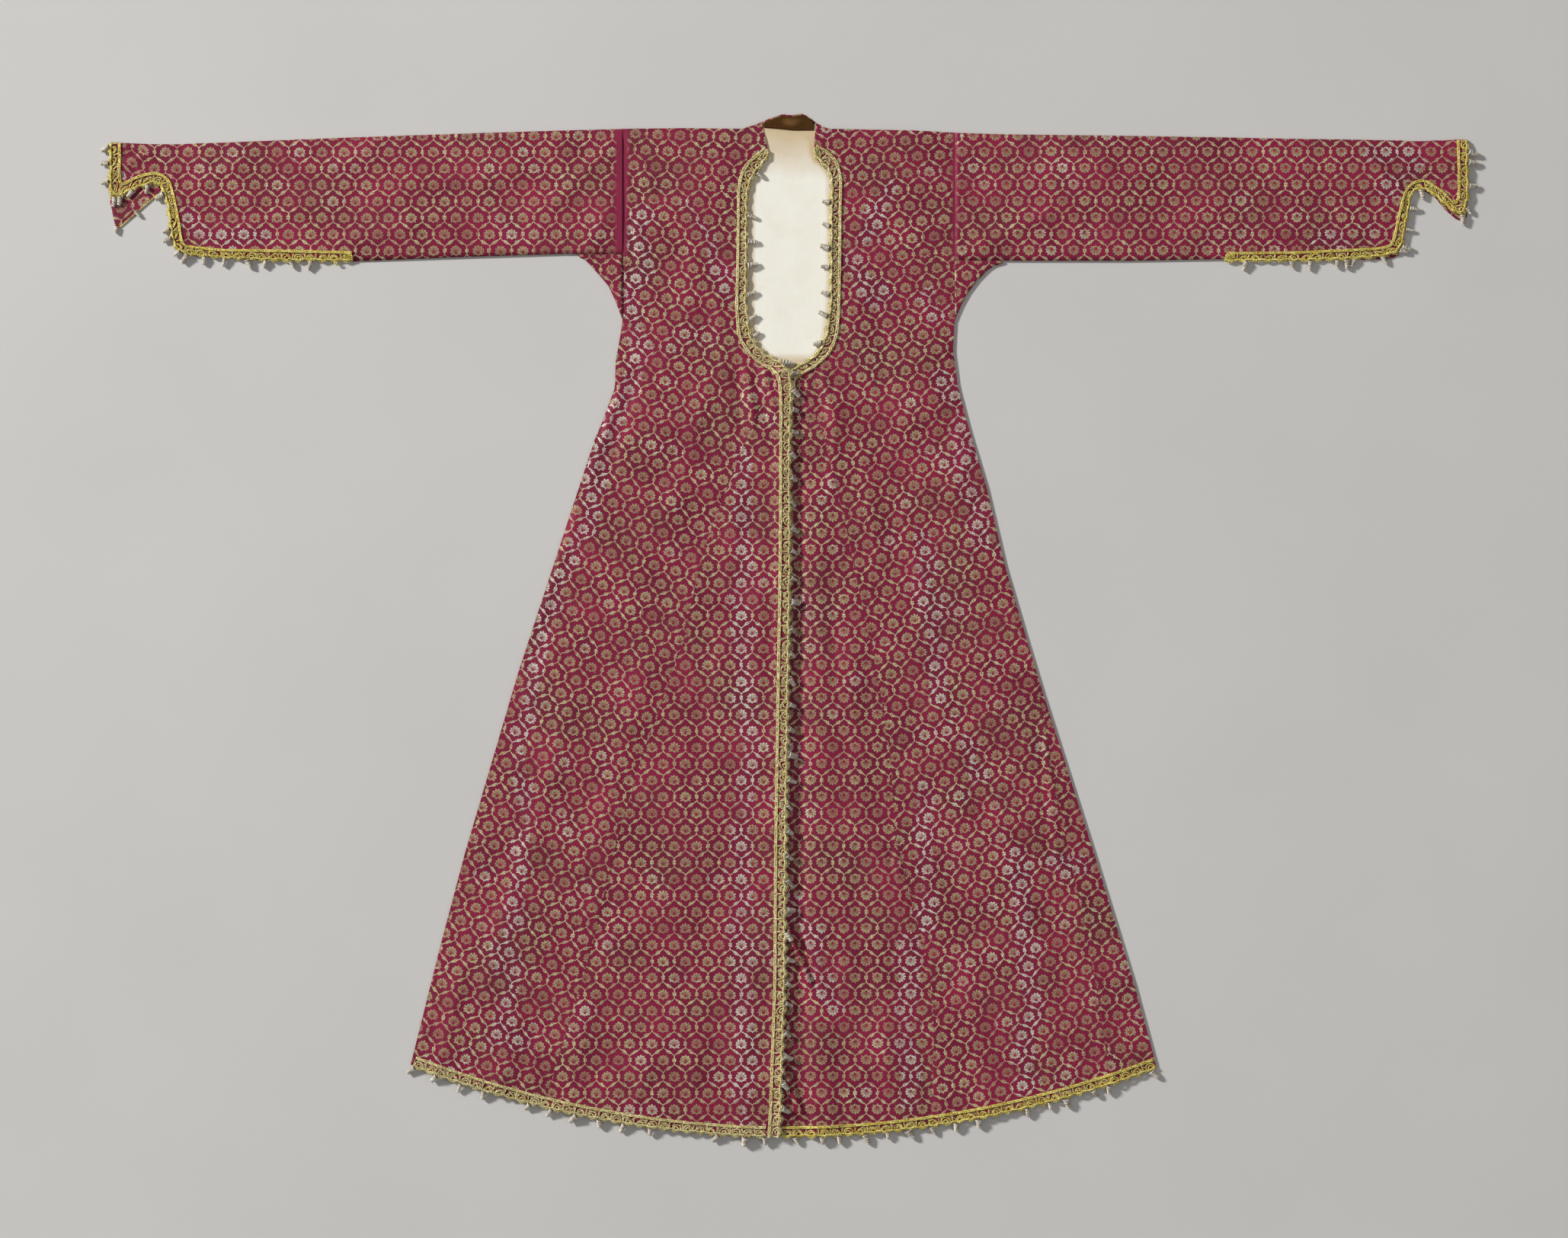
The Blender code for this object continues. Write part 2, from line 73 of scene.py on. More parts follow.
# Widths over which the cloth comes down at the side and shoulder seams.
SIDE_EASE = 9.0
SHOULDER_EASE, SHOULDER_SEAM = 14.0, 2
# How strongly the creases in the tables below show in the fronts and in the sleeves.
FRONT_CREASE_GAIN = 2.0
SLEEVE_CREASE_GAIN = 1.7
SLEEVE_GAP = 0.6
SLEEVE_LOFT = 1.0
SLEEVE_HEIGHT = 2 * CLOTH + SLEEVE_GAP
# The span at which a sleeve has its full loft, and its ease at the seam and at the fold, in shares.
SLEEVE_FULL_SPAN = 80
SLEEVE_SEAM_EASE, SLEEVE_FOLD_EASE = 0.06, 0.12
SLEEVE_LIFT = 0.7

HEM_MIDDLE_Y = -667.0
HEM_RISE = 90.0
HEM_HALF_WIDTH = 485.0
HEM_BEND_TOP_Y = -260.0
SHOULDER_Y = 656.0
SHOULDER_BEND_Y = 612.0
GORE_TOP_Y = 347.0
NECK_FOOT_Y = 350.0
HEM_LACE_INSIDE = 13.0
HEM_LACE_PROUD = 3.0
RIGHT_ARMHOLE_X, LEFT_ARMHOLE_X = -216, 220
UNDERARM_Y = 488
LINING_FOOT_Y, LINING_HALF_WIDTH = 330, 82
FAR_AWAY = 9e3

# Columns (y, x).
RIGHT_SIDE = (
    (656, -216), (402, -216), (377, -220), (350, -225), (315, -226), (272, -242), (246, -253),
    (84, -306), (-59, -353), (-296, -423), (-417, -455), (-561, -491), (-600, -501),
)
LEFT_SIDE = (
    (656, 220), (402, 220), (364, 218), (318, 224), (264, 238), (184, 262), (82, 286), (-13, 314),
    (-89, 337), (-296, 403), (-468, 456), (-568, 483), (-600, 491),
)
RIGHT_FRONT_EDGE = (
    (664, -33), (657, -32), (637, -27), (625, -25), (615, -26), (604, -35), (591, -43), (581, -50),
    (564, -52), (474, -53), (409, -52), (384, -48), (371, -41), (358, -30), (350, -12), (341, -2),
    (327, 6), (313, 6), (294, 3), (224, 3), (84, 2), (-316, -1), (-476, -5), (-616, -9),
    (-680, -10),
)
LEFT_FRONT_EDGE = (
    (664, 37), (654, 37), (636, 36), (624, 35), (611, 40), (605, 50), (596, 55), (586, 58),
    (564, 57), (424, 57), (394, 53), (378, 51), (361, 42), (350, 25), (341, 7), (327, 0), (319, -6),
    (294, -15), (-680, -30),
)
RIGHT_GORE_SEAM = (
    (350, -12), (334, -17), (176, -82), (122, -103), (64, -119), (-18, -136), (-166, -190),
    (-235, -210), (-296, -228), (-423, -257), (-475, -273), (-570, -302), (-680, -334),
)
LEFT_GORE_SEAM = (
    (350, 25), (345, 16), (331, 15), (256, 47), (136, 77), (59, 92), (-69, 120), (-171, 136),
    (-276, 142), (-359, 163), (-446, 187), (-530, 193), (-680, 188),
)
LINING_SIDES = (
    (661, -31, 36), (640, -46, 56), (600, -68, 74), (560, -73, 78), (410, -73, 78), (370, -62, 70),
    (345, -34, 44), (334, -14, 24),
)

# Columns (x, y).
SHOULDER_LINE = (
    (-216, 655), (-133, 656), (-60, 655), (-46, 659), (-35, 663), (-25, 668), (-6, 674.5), (7, 673),
    (19, 675.5), (29, 671), (36, 664), (49, 657), (57, 655), (167, 653), (220, 650),
)
FACING_FOOT = ((-31, 656.5), (-13, 655), (8, 653), (35, 653))
FACING_BELOW_RIM = 2.0

# The part's broad folds: a ridge from (x0, y0) to (x1, y1), its half width and its height.
BROAD_FOLDS = (
    (42, 250, 48, -680, 20, 2.0), (30, -390, 62, -690, 14, 0.6), (-160, -560, -190, -640, 22, 1.0),
    (-215, 330, -150, 250, 20, 1.0), (205, 345, 150, 255, 20, 1.0), (-235, 60, -375, -520, 42, 1.4),
    (225, 40, 330, -520, 42, 1.4), (-110, -150, -150, -600, 38, 1.1),
)

# Creases of the fronts, columns (x0, y0, x1, y1, half width, height); a trough is negative.
CREASES = (
    (0, -388, 26, -458, 4, 3.7), (8, -388, 34, -460, 3.8, -2.4), (-6, -572, 18, -636, 4, 3.0),
    (2, -572, 26, -638, 3.6, -1.9), (13, 250, 20, -640, 9, -1.7), (-33, 343, -17, 296, 4, 2.2),
    (-44, 341, -30, 285, 5, -1.8), (-54, 338, -44, 270, 4, 1.8), (-66, 340, -62, 262, 6, -1.2),
    (34, 338, 44, 288, 5, -1.4), (46, 340, 62, 272, 5, 1.5), (-196, 346, -234, 219, 9, -1.2),
    (-212, 340, -250, 215, 7, 1.0), (200, 362, 218, 335, 4, -1.4), (208, 364, 226, 340, 4, 1.2),
    (-172, -583, -194, -630, 2.6, -1.2), (-179, -577, -201, -630, 3.6, 1.3),
    (134, -286, 136, -320, 3, -0.8), (142, -270, 148, -322, 4, 0.7), (337, -120, 352, -285, 5, 1.0),
    (330, -130, 345, -300, 6, -0.9), (-205, 575, -168, 560, 5, -0.9),
    (-186, 560, -150, 552, 6, 0.7), (-176, 566, -150, 580, 4, -0.6),
    (-206, 540, -202, 470, 5, -0.8), (-196, 545, -192, 478, 6, 0.6),
    (-222, 322, -150, 296, 6, -0.9), (-226, 300, -160, 262, 6, 0.9),
    (-232, 282, -176, 236, 6, -0.8), (-240, 262, -196, 202, 7, 0.8),
    (-250, 238, -216, 170, 7, -0.7), (-212, 352, -140, 340, 7, 0.7), (214, 366, 150, 344, 7, 0.8),
    (222, 330, 160, 306, 6, -0.9), (228, 306, 170, 268, 6, 0.9), (236, 280, 190, 226, 7, -0.8),
    (248, 246, 216, 176, 7, 0.8), (262, 204, 236, 130, 8, -0.6), (-268, 180, -318, 30, 9, 0.8),
    (-288, 96, -332, -40, 8, -0.7), (276, 120, 306, 10, 9, 0.8), (-120, 520, -128, 420, 14, 0.6),
    (-92, 450, -84, 350, 9, 0.8), (-100, 330, -140, 180, 13, 0.8), (-60, 210, -78, 60, 12, 0.9),
    (-30, 120, -38, -90, 14, 0.8), (-96, 20, -120, -190, 12, -0.7),
    (-180, -30, -236, -240, 15, 0.9), (-280, -80, -330, -260, 14, 0.9),
    (-210, -250, -250, -420, 11, -0.8), (-330, -260, -398, -470, 16, 1.0),
    (-64, -230, -80, -430, 15, 0.9), (-46, -420, -60, -640, 13, 0.9),
    (-250, -450, -290, -640, 14, 0.9), (-330, -520, -366, -640, 10, -0.8),
    (-420, -420, -462, -600, 12, 0.9), (-110, -480, -128, -650, 10, 0.8),
    (90, 540, 96, 430, 12, 0.6), (120, 420, 130, 320, 10, -0.6), (70, 330, 60, 200, 8, 0.9),
    (96, 250, 120, 90, 12, 0.8), (150, 180, 186, 20, 13, 0.9), (56, 120, 62, -60, 10, -0.8),
    (84, 0, 96, -220, 14, 0.9), (196, -80, 240, -280, 15, 0.9), (160, -230, 176, -420, 12, -0.8),
    (270, -220, 330, -440, 15, 1.0), (72, -260, 80, -470, 13, 0.9), (120, -380, 132, -600, 14, 1.0),
    (236, -420, 262, -620, 14, 0.9), (310, -470, 342, -620, 11, -0.8),
    (376, -330, 424, -560, 13, 0.9), (180, -560, 188, -650, 8, -0.7),
    (404, -520, 430, -600, 8, 0.8), (66, -560, 74, -655, 9, -0.8), (-370, -560, -384, -625, 8, 0.8),
    (-20, -60, -24, -300, 7, 0.7),
)

# Creases of the sleeves' upper layers, columns as above.
SLEEVE_CREASES = (
    (-226, 640, -300, 560, 10, 1.0), (-232, 500, -330, 540, 9, 1.1), (-226, 560, -262, 500, 7, 0.9),
    (-330, 600, -470, 584, 12, 0.8), (-430, 540, -560, 512, 11, 0.9),
    (-500, 620, -640, 600, 10, 0.7), (-600, 560, -720, 520, 12, 0.8),
    (-700, 620, -790, 570, 9, 0.9), (-790, 520, -806, 596, 5, 0.8), (-826, 628, -880, 600, 6, 0.8),
    (-360, 500, -380, 540, 6, 0.8), (-480, 492, -500, 540, 7, 0.8), (230, 640, 306, 566, 10, 1.0),
    (236, 494, 330, 536, 9, 1.1), (228, 560, 262, 502, 7, 0.9), (330, 606, 460, 588, 12, 0.8),
    (440, 536, 560, 516, 11, 0.9), (520, 624, 650, 604, 10, 0.7), (640, 540, 740, 506, 12, 0.8),
    (706, 616, 780, 588, 14, 1.0), (800, 600, 812, 520, 5, 0.8), (830, 628, 878, 600, 6, 0.8),
    (370, 494, 392, 540, 6, 0.8), (560, 492, 590, 530, 7, 0.8),
)

# Sleeve sections, columns (x, top, lower edge of the upper layer, lower edge of the under layer).
RIGHT_SLEEVE = (
    (-889, 637, 569, 560), (-882, 637, 563, 526), (-878, 637, 565, 525), (-856, 636, 578, 542),
    (-831, 635, 586, 566), (-824, 635, 588, 574), (-820, 635, 577, 576), (-813, 635, 558, 556),
    (-809, 635, 520, 518), (-805, 635, 502, 499), (-797, 635, 495, 492), (-779, 636, 490, 488),
    (-741, 637, 487, 485), (-670, 640, 483, 482), (-570, 644, 482, 481), (-423, 649, 487, 487),
    (-295, 653, 491, 491), (-216.15, 655, 490.5, 490.5),
)
LEFT_SLEEVE = (
    (893, 641, 546, 540), (887, 641, 540, 534), (878, 641, 543, 537), (864, 640, 555, 549),
    (851, 640, 568, 565), (836, 639, 577, 574), (827, 639, 577, 575), (822, 639, 572, 571),
    (818, 639, 562, 561), (815, 639, 543, 542), (811, 639, 524, 522), (807, 640, 502, 499),
    (803, 640, 494, 489), (791, 640, 489, 484), (747, 641, 485, 483), (667, 642, 483, 482),
    (573, 644, 484, 484), (446, 646, 482, 482), (285, 648, 482, 482), (220.15, 650, 483, 483),
)

# Underarm gussets, columns (x, folded lower edge, upper seam, upper seam of the under layer).
RIGHT_GUSSET = (
    (-273, 486.5, 490.2, 490.2), (-265, 483, 490.2, 490.2), (-253, 470, 490.2, 490.2),
    (-243, 459, 490.2, 490.2), (-234, 448, 490.2, 490.2), (-225, 428, 490.2, 490.2),
    (-219, 412, 490.2, 490.2), (-216.3, 405, 490.2, 490.2),
)
LEFT_GUSSET = (
    (283, 478, 481.7, 481.7), (272, 475, 481.7, 481.7), (264, 470, 481.8, 481.8),
    (250, 456, 482, 482), (238, 440, 482.2, 482.2), (229, 424, 482.4, 482.4),
    (222, 408, 482.6, 482.6), (220.3, 403, 482.6, 482.6),
)

# Lace, columns (scalloped edge x, y, corded edge x, y).
RIGHT_EDGE_LACE = (
    (-23, 625, -30, 630), (-23, 614, -39, 623), (-33, 604, -48, 616), (-41, 591, -59, 604),
    (-48, 581, -64, 588), (-50, 564, -65.4, 569), (-51, 474, -66.5, 474), (-51, 424, -68, 424),
    (-45.4, 387, -66, 384), (-38, 371, -58, 368), (-28, 360, -44, 351), (-15, 356, -30, 342),
    (-3, 348, -19, 337), (7, 338, -14, 330), (10, 324, -12, 321), (8, 294, -10, 292),
    (6, 224, -10, 224), (7, 84, -11, 84), (4, -100, -14, -100), (1, -296, -17, -296),
    (0, -468, -18, -468), (-6, -640, -24, -640), (-8, -669, -26, -669),
)
LEFT_EDGE_LACE = (
    (33, 624, 39, 634), (38, 611, 55, 626), (47, 606, 64, 618), (53, 596, 70, 606),
    (57, 584, 73, 588), (55, 564, 72, 566), (54.5, 474, 71, 474), (54.5, 426, 70, 426),
    (49, 388, 68, 386), (39, 361, 59, 362), (22, 350, 40, 343), (7, 343, 21, 333),
    (-2, 335, 12, 327), (-7, 319, 10, 317), (-9, 294, 8, 294), (-15, 264, 3, 264),
)
RIGHT_CUFF_LACE = (
    (-891, 636, -874, 636), (-891, 602, -874, 610), (-892, 575, -874, 594), (-883, 560, -873, 583),
    (-856, 574, -850, 595), (-833, 582, -831, 599), (-826, 585, -820, 599), (-822, 577, -809, 591),
    (-815, 557, -802, 562), (-811, 520, -796, 532), (-807, 500, -793, 503), (-798, 492, -786, 502),
    (-779, 487, -779, 501), (-741, 484, -742, 497), (-670, 480, -670, 496.5),
    (-570, 480, -570, 494),
)
LEFT_CUFF_LACE = (
    (895, 640, 879, 640), (895, 600, 880, 600), (896, 560, 880, 565), (888, 537, 874, 558),
    (864, 552, 862, 573), (851, 566, 842, 587), (836, 575, 832, 589.5), (826, 575, 818, 585),
    (819, 566, 809.5, 572), (817, 543, 803, 549), (813, 524, 798, 524), (809, 500, 793, 503),
    (803, 491, 786, 500.5), (790, 487, 772, 499), (747, 482.5, 747, 497.5), (667, 480, 667, 494),
    (600, 480, 600, 493), (573, 479, 577, 493),
)


def column(table, number):
    """One column of a table."""
    return np.array([row[number] for row in table], float)


def read(table, at, number=1):
    """Linear reading of a table whose first column runs steadily up or down."""
    rows = sorted(table)
    return np.interp(at, column(rows, 0), column(rows, number))


def eased(table, at, number=1, reach=4.0):
    """A table read with its corners rounded over a few millimetres."""
    at = np.asarray(at, float)
    return (read(table, at - reach, number) + 2 * read(table, at, number)
            + read(table, at + reach, number)) / 4


def smooth(share):
    """0 below 0, 1 above 1 and an even S between."""
    share = np.clip(share, 0.0, 1.0)
    return share * share * (3 - 2 * share)


def hem_y(x):
    """The curve of the hem."""
    return HEM_MIDDLE_Y + HEM_RISE * (x / HEM_HALF_WIDTH) ** 2


def body_y(row_y, x):
    """The y of a body row at x, with the shoulder line and the hem's curve worked in."""
    top_share = smooth((row_y - SHOULDER_BEND_Y) / (SHOULDER_Y - SHOULDER_BEND_Y))
    hem_share = smooth((HEM_BEND_TOP_Y - row_y) / (HEM_BEND_TOP_Y - HEM_MIDDLE_Y))
    return (row_y + top_share * (eased(SHOULDER_LINE, x, reach=2.0) - SHOULDER_Y)
            + hem_share * (hem_y(x) - HEM_MIDDLE_Y))


# How a fold fades at its two ends, in shares of its length: lead, far end, reach of the fade.
CREASE_ENDS = (0.3, 1.3, 0.3)
BROAD_ENDS = (0.0, 1.25, 0.2)


def ridges(rows, x, y, ends=CREASE_ENDS):
    """The sum of soft ridges and troughs at each point."""
    lead, far_end, reach = ends
    total = np.zeros_like(x)
    for x0, y0, x1, y1, half_width, height in rows:
        run_x, run_y = x1 - x0, y1 - y0
        length = math.hypot(run_x, run_y)
        along = ((x - x0) * run_x + (y - y0) * run_y) / length ** 2
        across = ((x - x0) * run_y - (y - y0) * run_x) / length
        fade = smooth(along / reach + lead) * smooth((far_end - along) / reach)
        total += height * fade * np.exp(-(across / half_width) ** 2)
    return total


def ripple(x, y):
    """A faint unevenness of cloth that has lain for years."""
    return (0.34 * np.sin(x / 17.0 + 2.1 * np.sin(y / 61.0)) * np.sin(y / 43.0 + 1.3)
            + 0.22 * np.sin(y / 21.0 + 1.7 * np.sin(x / 37.0 + 0.8))
            + 0.13 * np.sin((x + y) / 9.0 + 2.0 * np.sin((x - y) / 31.0)))


def front_low(x, y, is_right):
    """Height of a front's underside: down at the side edge, up over the lap and on the folds."""
    side = np.where(x < 0, read(RIGHT_SIDE, y), read(LEFT_SIDE, y))
    from_side = np.abs(np.abs(side) - np.abs(x))
    inwards = smooth(from_side / RIM_WIDTH)
    near_edge = smooth(from_side / SIDE_EASE)
    shoulder = smooth((SHOULDER_Y - SHOULDER_SEAM - y) / SHOULDER_EASE)
    over_lining = (y > LINING_FOOT_Y) & (np.abs(x) < LINING_HALF_WIDTH)
    floor = np.where(over_lining, FRONT_LOW - LINING_DIP, FRONT_RIM_LOW)
    folds = ridges(BROAD_FOLDS, x, y, BROAD_ENDS)
    rise = inwards * (FRONT_LOW - FRONT_RIM_LOW + folds + FRONT_LIFT) + FRONT_RIM_LIFT
    waves = FRONT_CREASE_GAIN * ridges(CREASES, x, y) + ripple(x, y)
    low = FRONT_RIM_LOW + near_edge * shoulder * np.maximum(rise + waves, LEAST_LIFT)
    low = np.maximum(low, floor)
    if is_right:
        ramp_start = read(LEFT_FRONT_EDGE, y) - LAP_MARGIN - LAP_RAMP
        over = smooth((x - ramp_start) / LAP_RAMP)
        below = smooth((LAP_TOP_Y - y) / (LAP_TOP_Y - LAP_FULL_Y))
        low = low + LAP_RISE * over * below
        at_edge = smooth((x - LAP_ROLL_X) / LAP_ROLL_WIDTH)
        above_hem = smooth((y - LAP_ROLL_END_Y) / LAP_ROLL_END)
        low = low + LAP_ROLL * at_edge * above_hem * below
    return np.where(low > FOLD_LIMIT, FOLD_LIMIT + np.tanh(low - FOLD_LIMIT), low)


def front_top(is_right):
    """A function that gives the height of a front's upper face."""
    return lambda x, y: front_low(x, y, is_right) + CLOTH


def sleeve_rise(share, x, y, span):
    """How far the upper layer of a sleeve stands above its flat height."""
    full = np.minimum(np.abs(span) / SLEEVE_FULL_SPAN, 1)
    loft = SLEEVE_LOFT * np.sin(math.pi * share) * full
    edge = smooth(share / SLEEVE_SEAM_EASE) * smooth((1 - share) / SLEEVE_FOLD_EASE)
    waves = SLEEVE_CREASE_GAIN * ridges(SLEEVE_CREASES, x, y) + ripple(x, y) + SLEEVE_LIFT
    return loft + edge * np.maximum(waves, 0.0)


def sleeve_top(table):
    """A function that gives the height of a sleeve's upper face."""
    def height(x, y):
        top, edge = read(table, x, 1), read(table, x, 2)
        centre = top - SLEEVE_HEIGHT / 2
        share = np.clip((y - edge) / (centre - edge), 0.0, 1.0)
        return SLEEVE_HEIGHT + sleeve_rise(share, x, y, centre - edge)
    return height


# Grain lines: how far the woven pattern's top leans to +X, columns (y, degrees).
RIGHT_PANEL_GRAIN = ((656, 2.5), (520, 4.5), (400, 8), (300, 12), (200, 14.5), (0, 15.5), (-650, 17))
LEFT_PANEL_GRAIN = (
    (656, -2.5), (500, -5), (380, -8), (240, -10), (-220, -10.5), (-450, -13), (-650, -14),
)
SIDE_GORE_GRAIN = ((0, -4), (-600, -4))
UPRIGHT = ((656, 0), (-650, 0))
GRAIN_END_Y = 760.0
GRAIN_STEP = 5.0
GRAIN_ROUNDS, GRAIN_PULL = 12, 0.8


def grain(x, y, table, through, flower, turned=False):
    """Pattern coordinates along a slowly turning grain line, with a flower at a given point."""
    line_y = np.arange(-GRAIN_END_Y, GRAIN_END_Y, GRAIN_STEP)
    lean = np.radians(read(table, line_y))
    line_x = np.concatenate([[0.0], np.cumsum(np.tan(lean[:-1]) * GRAIN_STEP)])
    line_x += through[0] - np.interp(through[1], line_y, line_x)
    line_s = np.concatenate([[0.0], np.cumsum(GRAIN_STEP / np.cos(lean[:-1]))])

    def place(px, py):
        """How far a point lies across and along the line, from the line's nearest point."""
        at = np.array(py, float)
        for _ in range(GRAIN_ROUNDS):
            tilt = np.interp(at, line_y, lean)
            gap_x, gap_y = px - np.interp(at, line_y, line_x), py - at
            step = (gap_x * np.sin(tilt) + gap_y * np.cos(tilt)) * np.cos(tilt)
            at = at + step * GRAIN_PULL
        tilt = np.interp(at, line_y, lean)
        gap_x, gap_y = px - np.interp(at, line_y, line_x), py - at
        return gap_x * np.cos(tilt) - gap_y * np.sin(tilt), np.interp(at, line_y, line_s)

    u, v = place(x, y)
    u0, v0 = place(np.array([flower[0]], float), np.array([flower[1]], float))
    turn = -1 if turned else 1
    return turn * (u - u0[0]), turn * (v - v0[0])


# Runs of silver weft instead of gilt, lists of (x, y) with their half width.
SILVER_RUNS = (
    (10, ((-55, 224), (-60, 40), (-52, -180), (-62, -380), (-56, -660))),
    (11, ((-188, 542), (-204, 522), (-181, 475), (-210, 437), (-204, 413), (-188, 366), (-199, 321))),
    (7, ((-132, 556), (-101, 507), (-81, 440))),
    (9, ((-199, 321), (-245, 230), (-262, 130), (-300, 60), (-330, -40), (-352, -150), (-340, -260),
         (-352, -330), (-370, -420), (-361, -476), (-380, -541), (-346, -552))),
    (11, ((136, 578), (118, 547), (100, 515))), (12, ((78, 480), (120, 433))),
    (9, ((187, 440), (200, 417))), (9, ((205, 330), (232, 250), (240, 170), (262, 110))),
    (10, ((238, -154), (249, -198))), (9, ((179, -206), (179, -393))),
    (11, ((303, -306), (311, -382), (315, -454), (325, -503), (308, -547), (317, -592))),
    (8, ((346, -303), (387, -313))), (10, ((8, -365), (36, -416), (53, -475), (65, -496))),
    (12, ((158, -410), (160, -616))), (10, ((176, 120), (190, 10), (196, -90))),
    (9, ((690, 508), (720, 508))), (9, ((767, 622), (825, 615), (800, 590), (790, 572))),
    (9, ((-690, 512), (-758, 516), (-790, 534))), (9, ((-884, 600), (-866, 592))),
)
# A run fades out over this width, the first part of it outside the run's own width.
SILVER_SPREAD, SILVER_FADE = 14, 26


def silver_share(x, y):
    """1 on the runs of silver weft, 0 away from them."""
    found = np.zeros_like(x)
    for half_width, points in SILVER_RUNS:
        for (x0, y0), (x1, y1) in zip(points, points[1:]):
            run = np.array((x1 - x0, y1 - y0), float)
            share = np.clip(((x - x0) * run[0] + (y - y0) * run[1]) / (run @ run), 0, 1)
            away = np.hypot(x - x0 - share * run[0], y - y0 - share * run[1])
            found = np.maximum(found, smooth((half_width + SILVER_SPREAD - away) / SILVER_FADE))
    return found


def mesh_object(name, points, faces, material):
    """A smooth mesh object from points in millimetres."""
    data = bpy.data.meshes.new(name)
    data.from_pydata((np.asarray(points) * MM).tolist(), [], faces)
    data.shade_smooth()
    data.materials.append(material)
    made = bpy.data.objects.new(name, data)
    bpy.context.scene.collection.objects.link(made)
    return made


def shell(name, top, under, material, uv, marks, crisp=False):
    """A closed cloth shell between two grids of points, with its pattern coordinates."""
    rows, columns, _ = top.shape
    index = np.arange(rows * columns).reshape(rows, columns)
    a, b, c, d = index[:-1, :-1], index[1:, :-1], index[1:, 1:], index[:-1, 1:]
    upper = np.stack([a, b, c, d], -1).reshape(-1, 4)
    lower = upper[:, ::-1] + rows * columns
    rim = np.concatenate([index[0, :-1], index[:-1, -1], index[-1, :0:-1], index[:0:-1, 0]])
    after = np.roll(rim, -1)
    side = np.stack([rim, after, after + rows * columns, rim + rows * columns], -1)
    points = np.concatenate([top.reshape(-1, 3), under.reshape(-1, 3)])
    faces = np.concatenate([upper, lower, side])
    corners = points[faces]
    middle = corners.mean(1)
    area = np.cross(corners[:, 2] - corners[:, 0], corners[:, 3] - corners[:, 1]) / 2
    if (middle * area).sum() < 0:
        faces = faces[:, ::-1]
    made = mesh_object(name, points, faces.tolist(), material)
    both_faces = {label: np.tile(values.ravel(), 2) for label, values in marks.items()}
    add_marks(made, np.tile(uv.reshape(-1, 2), (2, 1)), both_faces)
    if crisp:
        on_rim = np.zeros(2 * rows * columns, bool)
        on_rim[rim] = True
        on_rim[rim + rows * columns] = True
        ends = np.zeros(2 * len(made.data.edges), np.int32)
        made.data.edges.foreach_get("vertices", ends)
        sharp = made.data.attributes.new("sharp_edge", "BOOLEAN", "EDGE")
        sharp.data.foreach_set("value", on_rim[ends.reshape(-1, 2)].all(1))
    return made


def add_marks(piece, uv, marks):
    """The pattern map "weave", in metres, and a number at each point for each mark."""
    data = piece.data
    corner = np.zeros(len(data.loops), np.int32)
    data.loops.foreach_get("vertex_index", corner)
    layer = data.uv_layers.new(name="weave")
    layer.data.foreach_set("uv", (uv[corner] * MM).ravel().astype(np.float32))
    for name, values in marks.items():
        made = data.attributes.new(name, "FLOAT", "POINT")
        made.data.foreach_set("value", values.astype(np.float32))


# Points next to a seam, where the cloth's face rolls under: their places and the dip.
SEAM_POINTS = (1.2, 3.0)
SEAM_ROLL = 1.6
SEAM_DIP = 0.1
ROW_STEP = 5.0
BACK_ROW_STEP = 8.0
HEM_ROLL_ROW = 1.5
BODY_ROUNDS = 14
# Points across the back, the lining and the facing, and down the facing.
BACK_COLUMNS, LINING_COLUMNS, FACING_COLUMNS, FACING_ROWS = 101, 33, 41, 9
# Points across each layer of a sleeve or gusset, and round its fold.
LAYER_POINTS, FOLD_POINTS = 29, 9
# The woven pattern stops short of the armholes in a plain strip, wider on the right sleeve.
FRONT_PLAIN = 7.5
RIGHT_SLEEVE_PLAIN, LEFT_SLEEVE_PLAIN = 9.5, 5
PLAIN_FADE = 1.5


def shares(count, width):
    """Even steps from 0 to 1, with two close to each edge so that a seam rolls under."""
    close = np.array(SEAM_POINTS) / width
    clear = close[1] * 1.4
    inner = np.linspace(0, 1, count + 1)
    inner = inner[(inner > clear) & (inner < 1 - clear)]
    return np.concatenate([[0.0], close, inner, 1 - close[::-1], [1.0]])


def rolled(grid_share, width):
    """How far the cloth's face dips as it nears a seam."""
    near = np.minimum(grid_share, 1 - grid_share) * width
    return -SEAM_DIP * np.exp(-(near / SEAM_ROLL) ** 2)


def body_grid(rows, left, right, columns):
    """x and y of the points of body rows between two side lines."""
    y = np.repeat(rows[:, None], len(columns), 1)
    for _ in range(BODY_ROUNDS):
        x = left(y) + columns[None, :] * (right(y) - left(y))
        y = body_y(rows[:, None], x)
    return x, y


def front_piece(name, top_y, left, right, count, width, is_right, lay, material):
    """One cloth of the fronts, from top_y to the hem between two lines; lay is its grain."""
    rows = np.arange(top_y, HEM_MIDDLE_Y, -ROW_STEP)
    rows = np.concatenate([rows, [HEM_MIDDLE_Y + HEM_ROLL_ROW, HEM_MIDDLE_Y]])
    columns = shares(count, width)
    x, y = body_grid(rows, left, right, columns)
    low = front_low(x, y, is_right)
    dip = rolled(columns[None, :], np.abs(right(rows) - left(rows))[:, None] + 1e-3)
    top = np.stack([x, y, low + CLOTH + dip], -1)
    under = np.stack([x, y, low], -1)
    uv = np.stack(grain(x, y, *lay), -1)
    near_armhole = np.minimum(np.abs(x - RIGHT_ARMHOLE_X), np.abs(x - LEFT_ARMHOLE_X) + 4)
    plain = smooth((FRONT_PLAIN - near_armhole) / PLAIN_FADE) * (y > UNDERARM_Y)
    marks = {"silver": silver_share(x, y), "plain": plain}
    return shell(name, top, under, material, uv, marks, crisp=True)


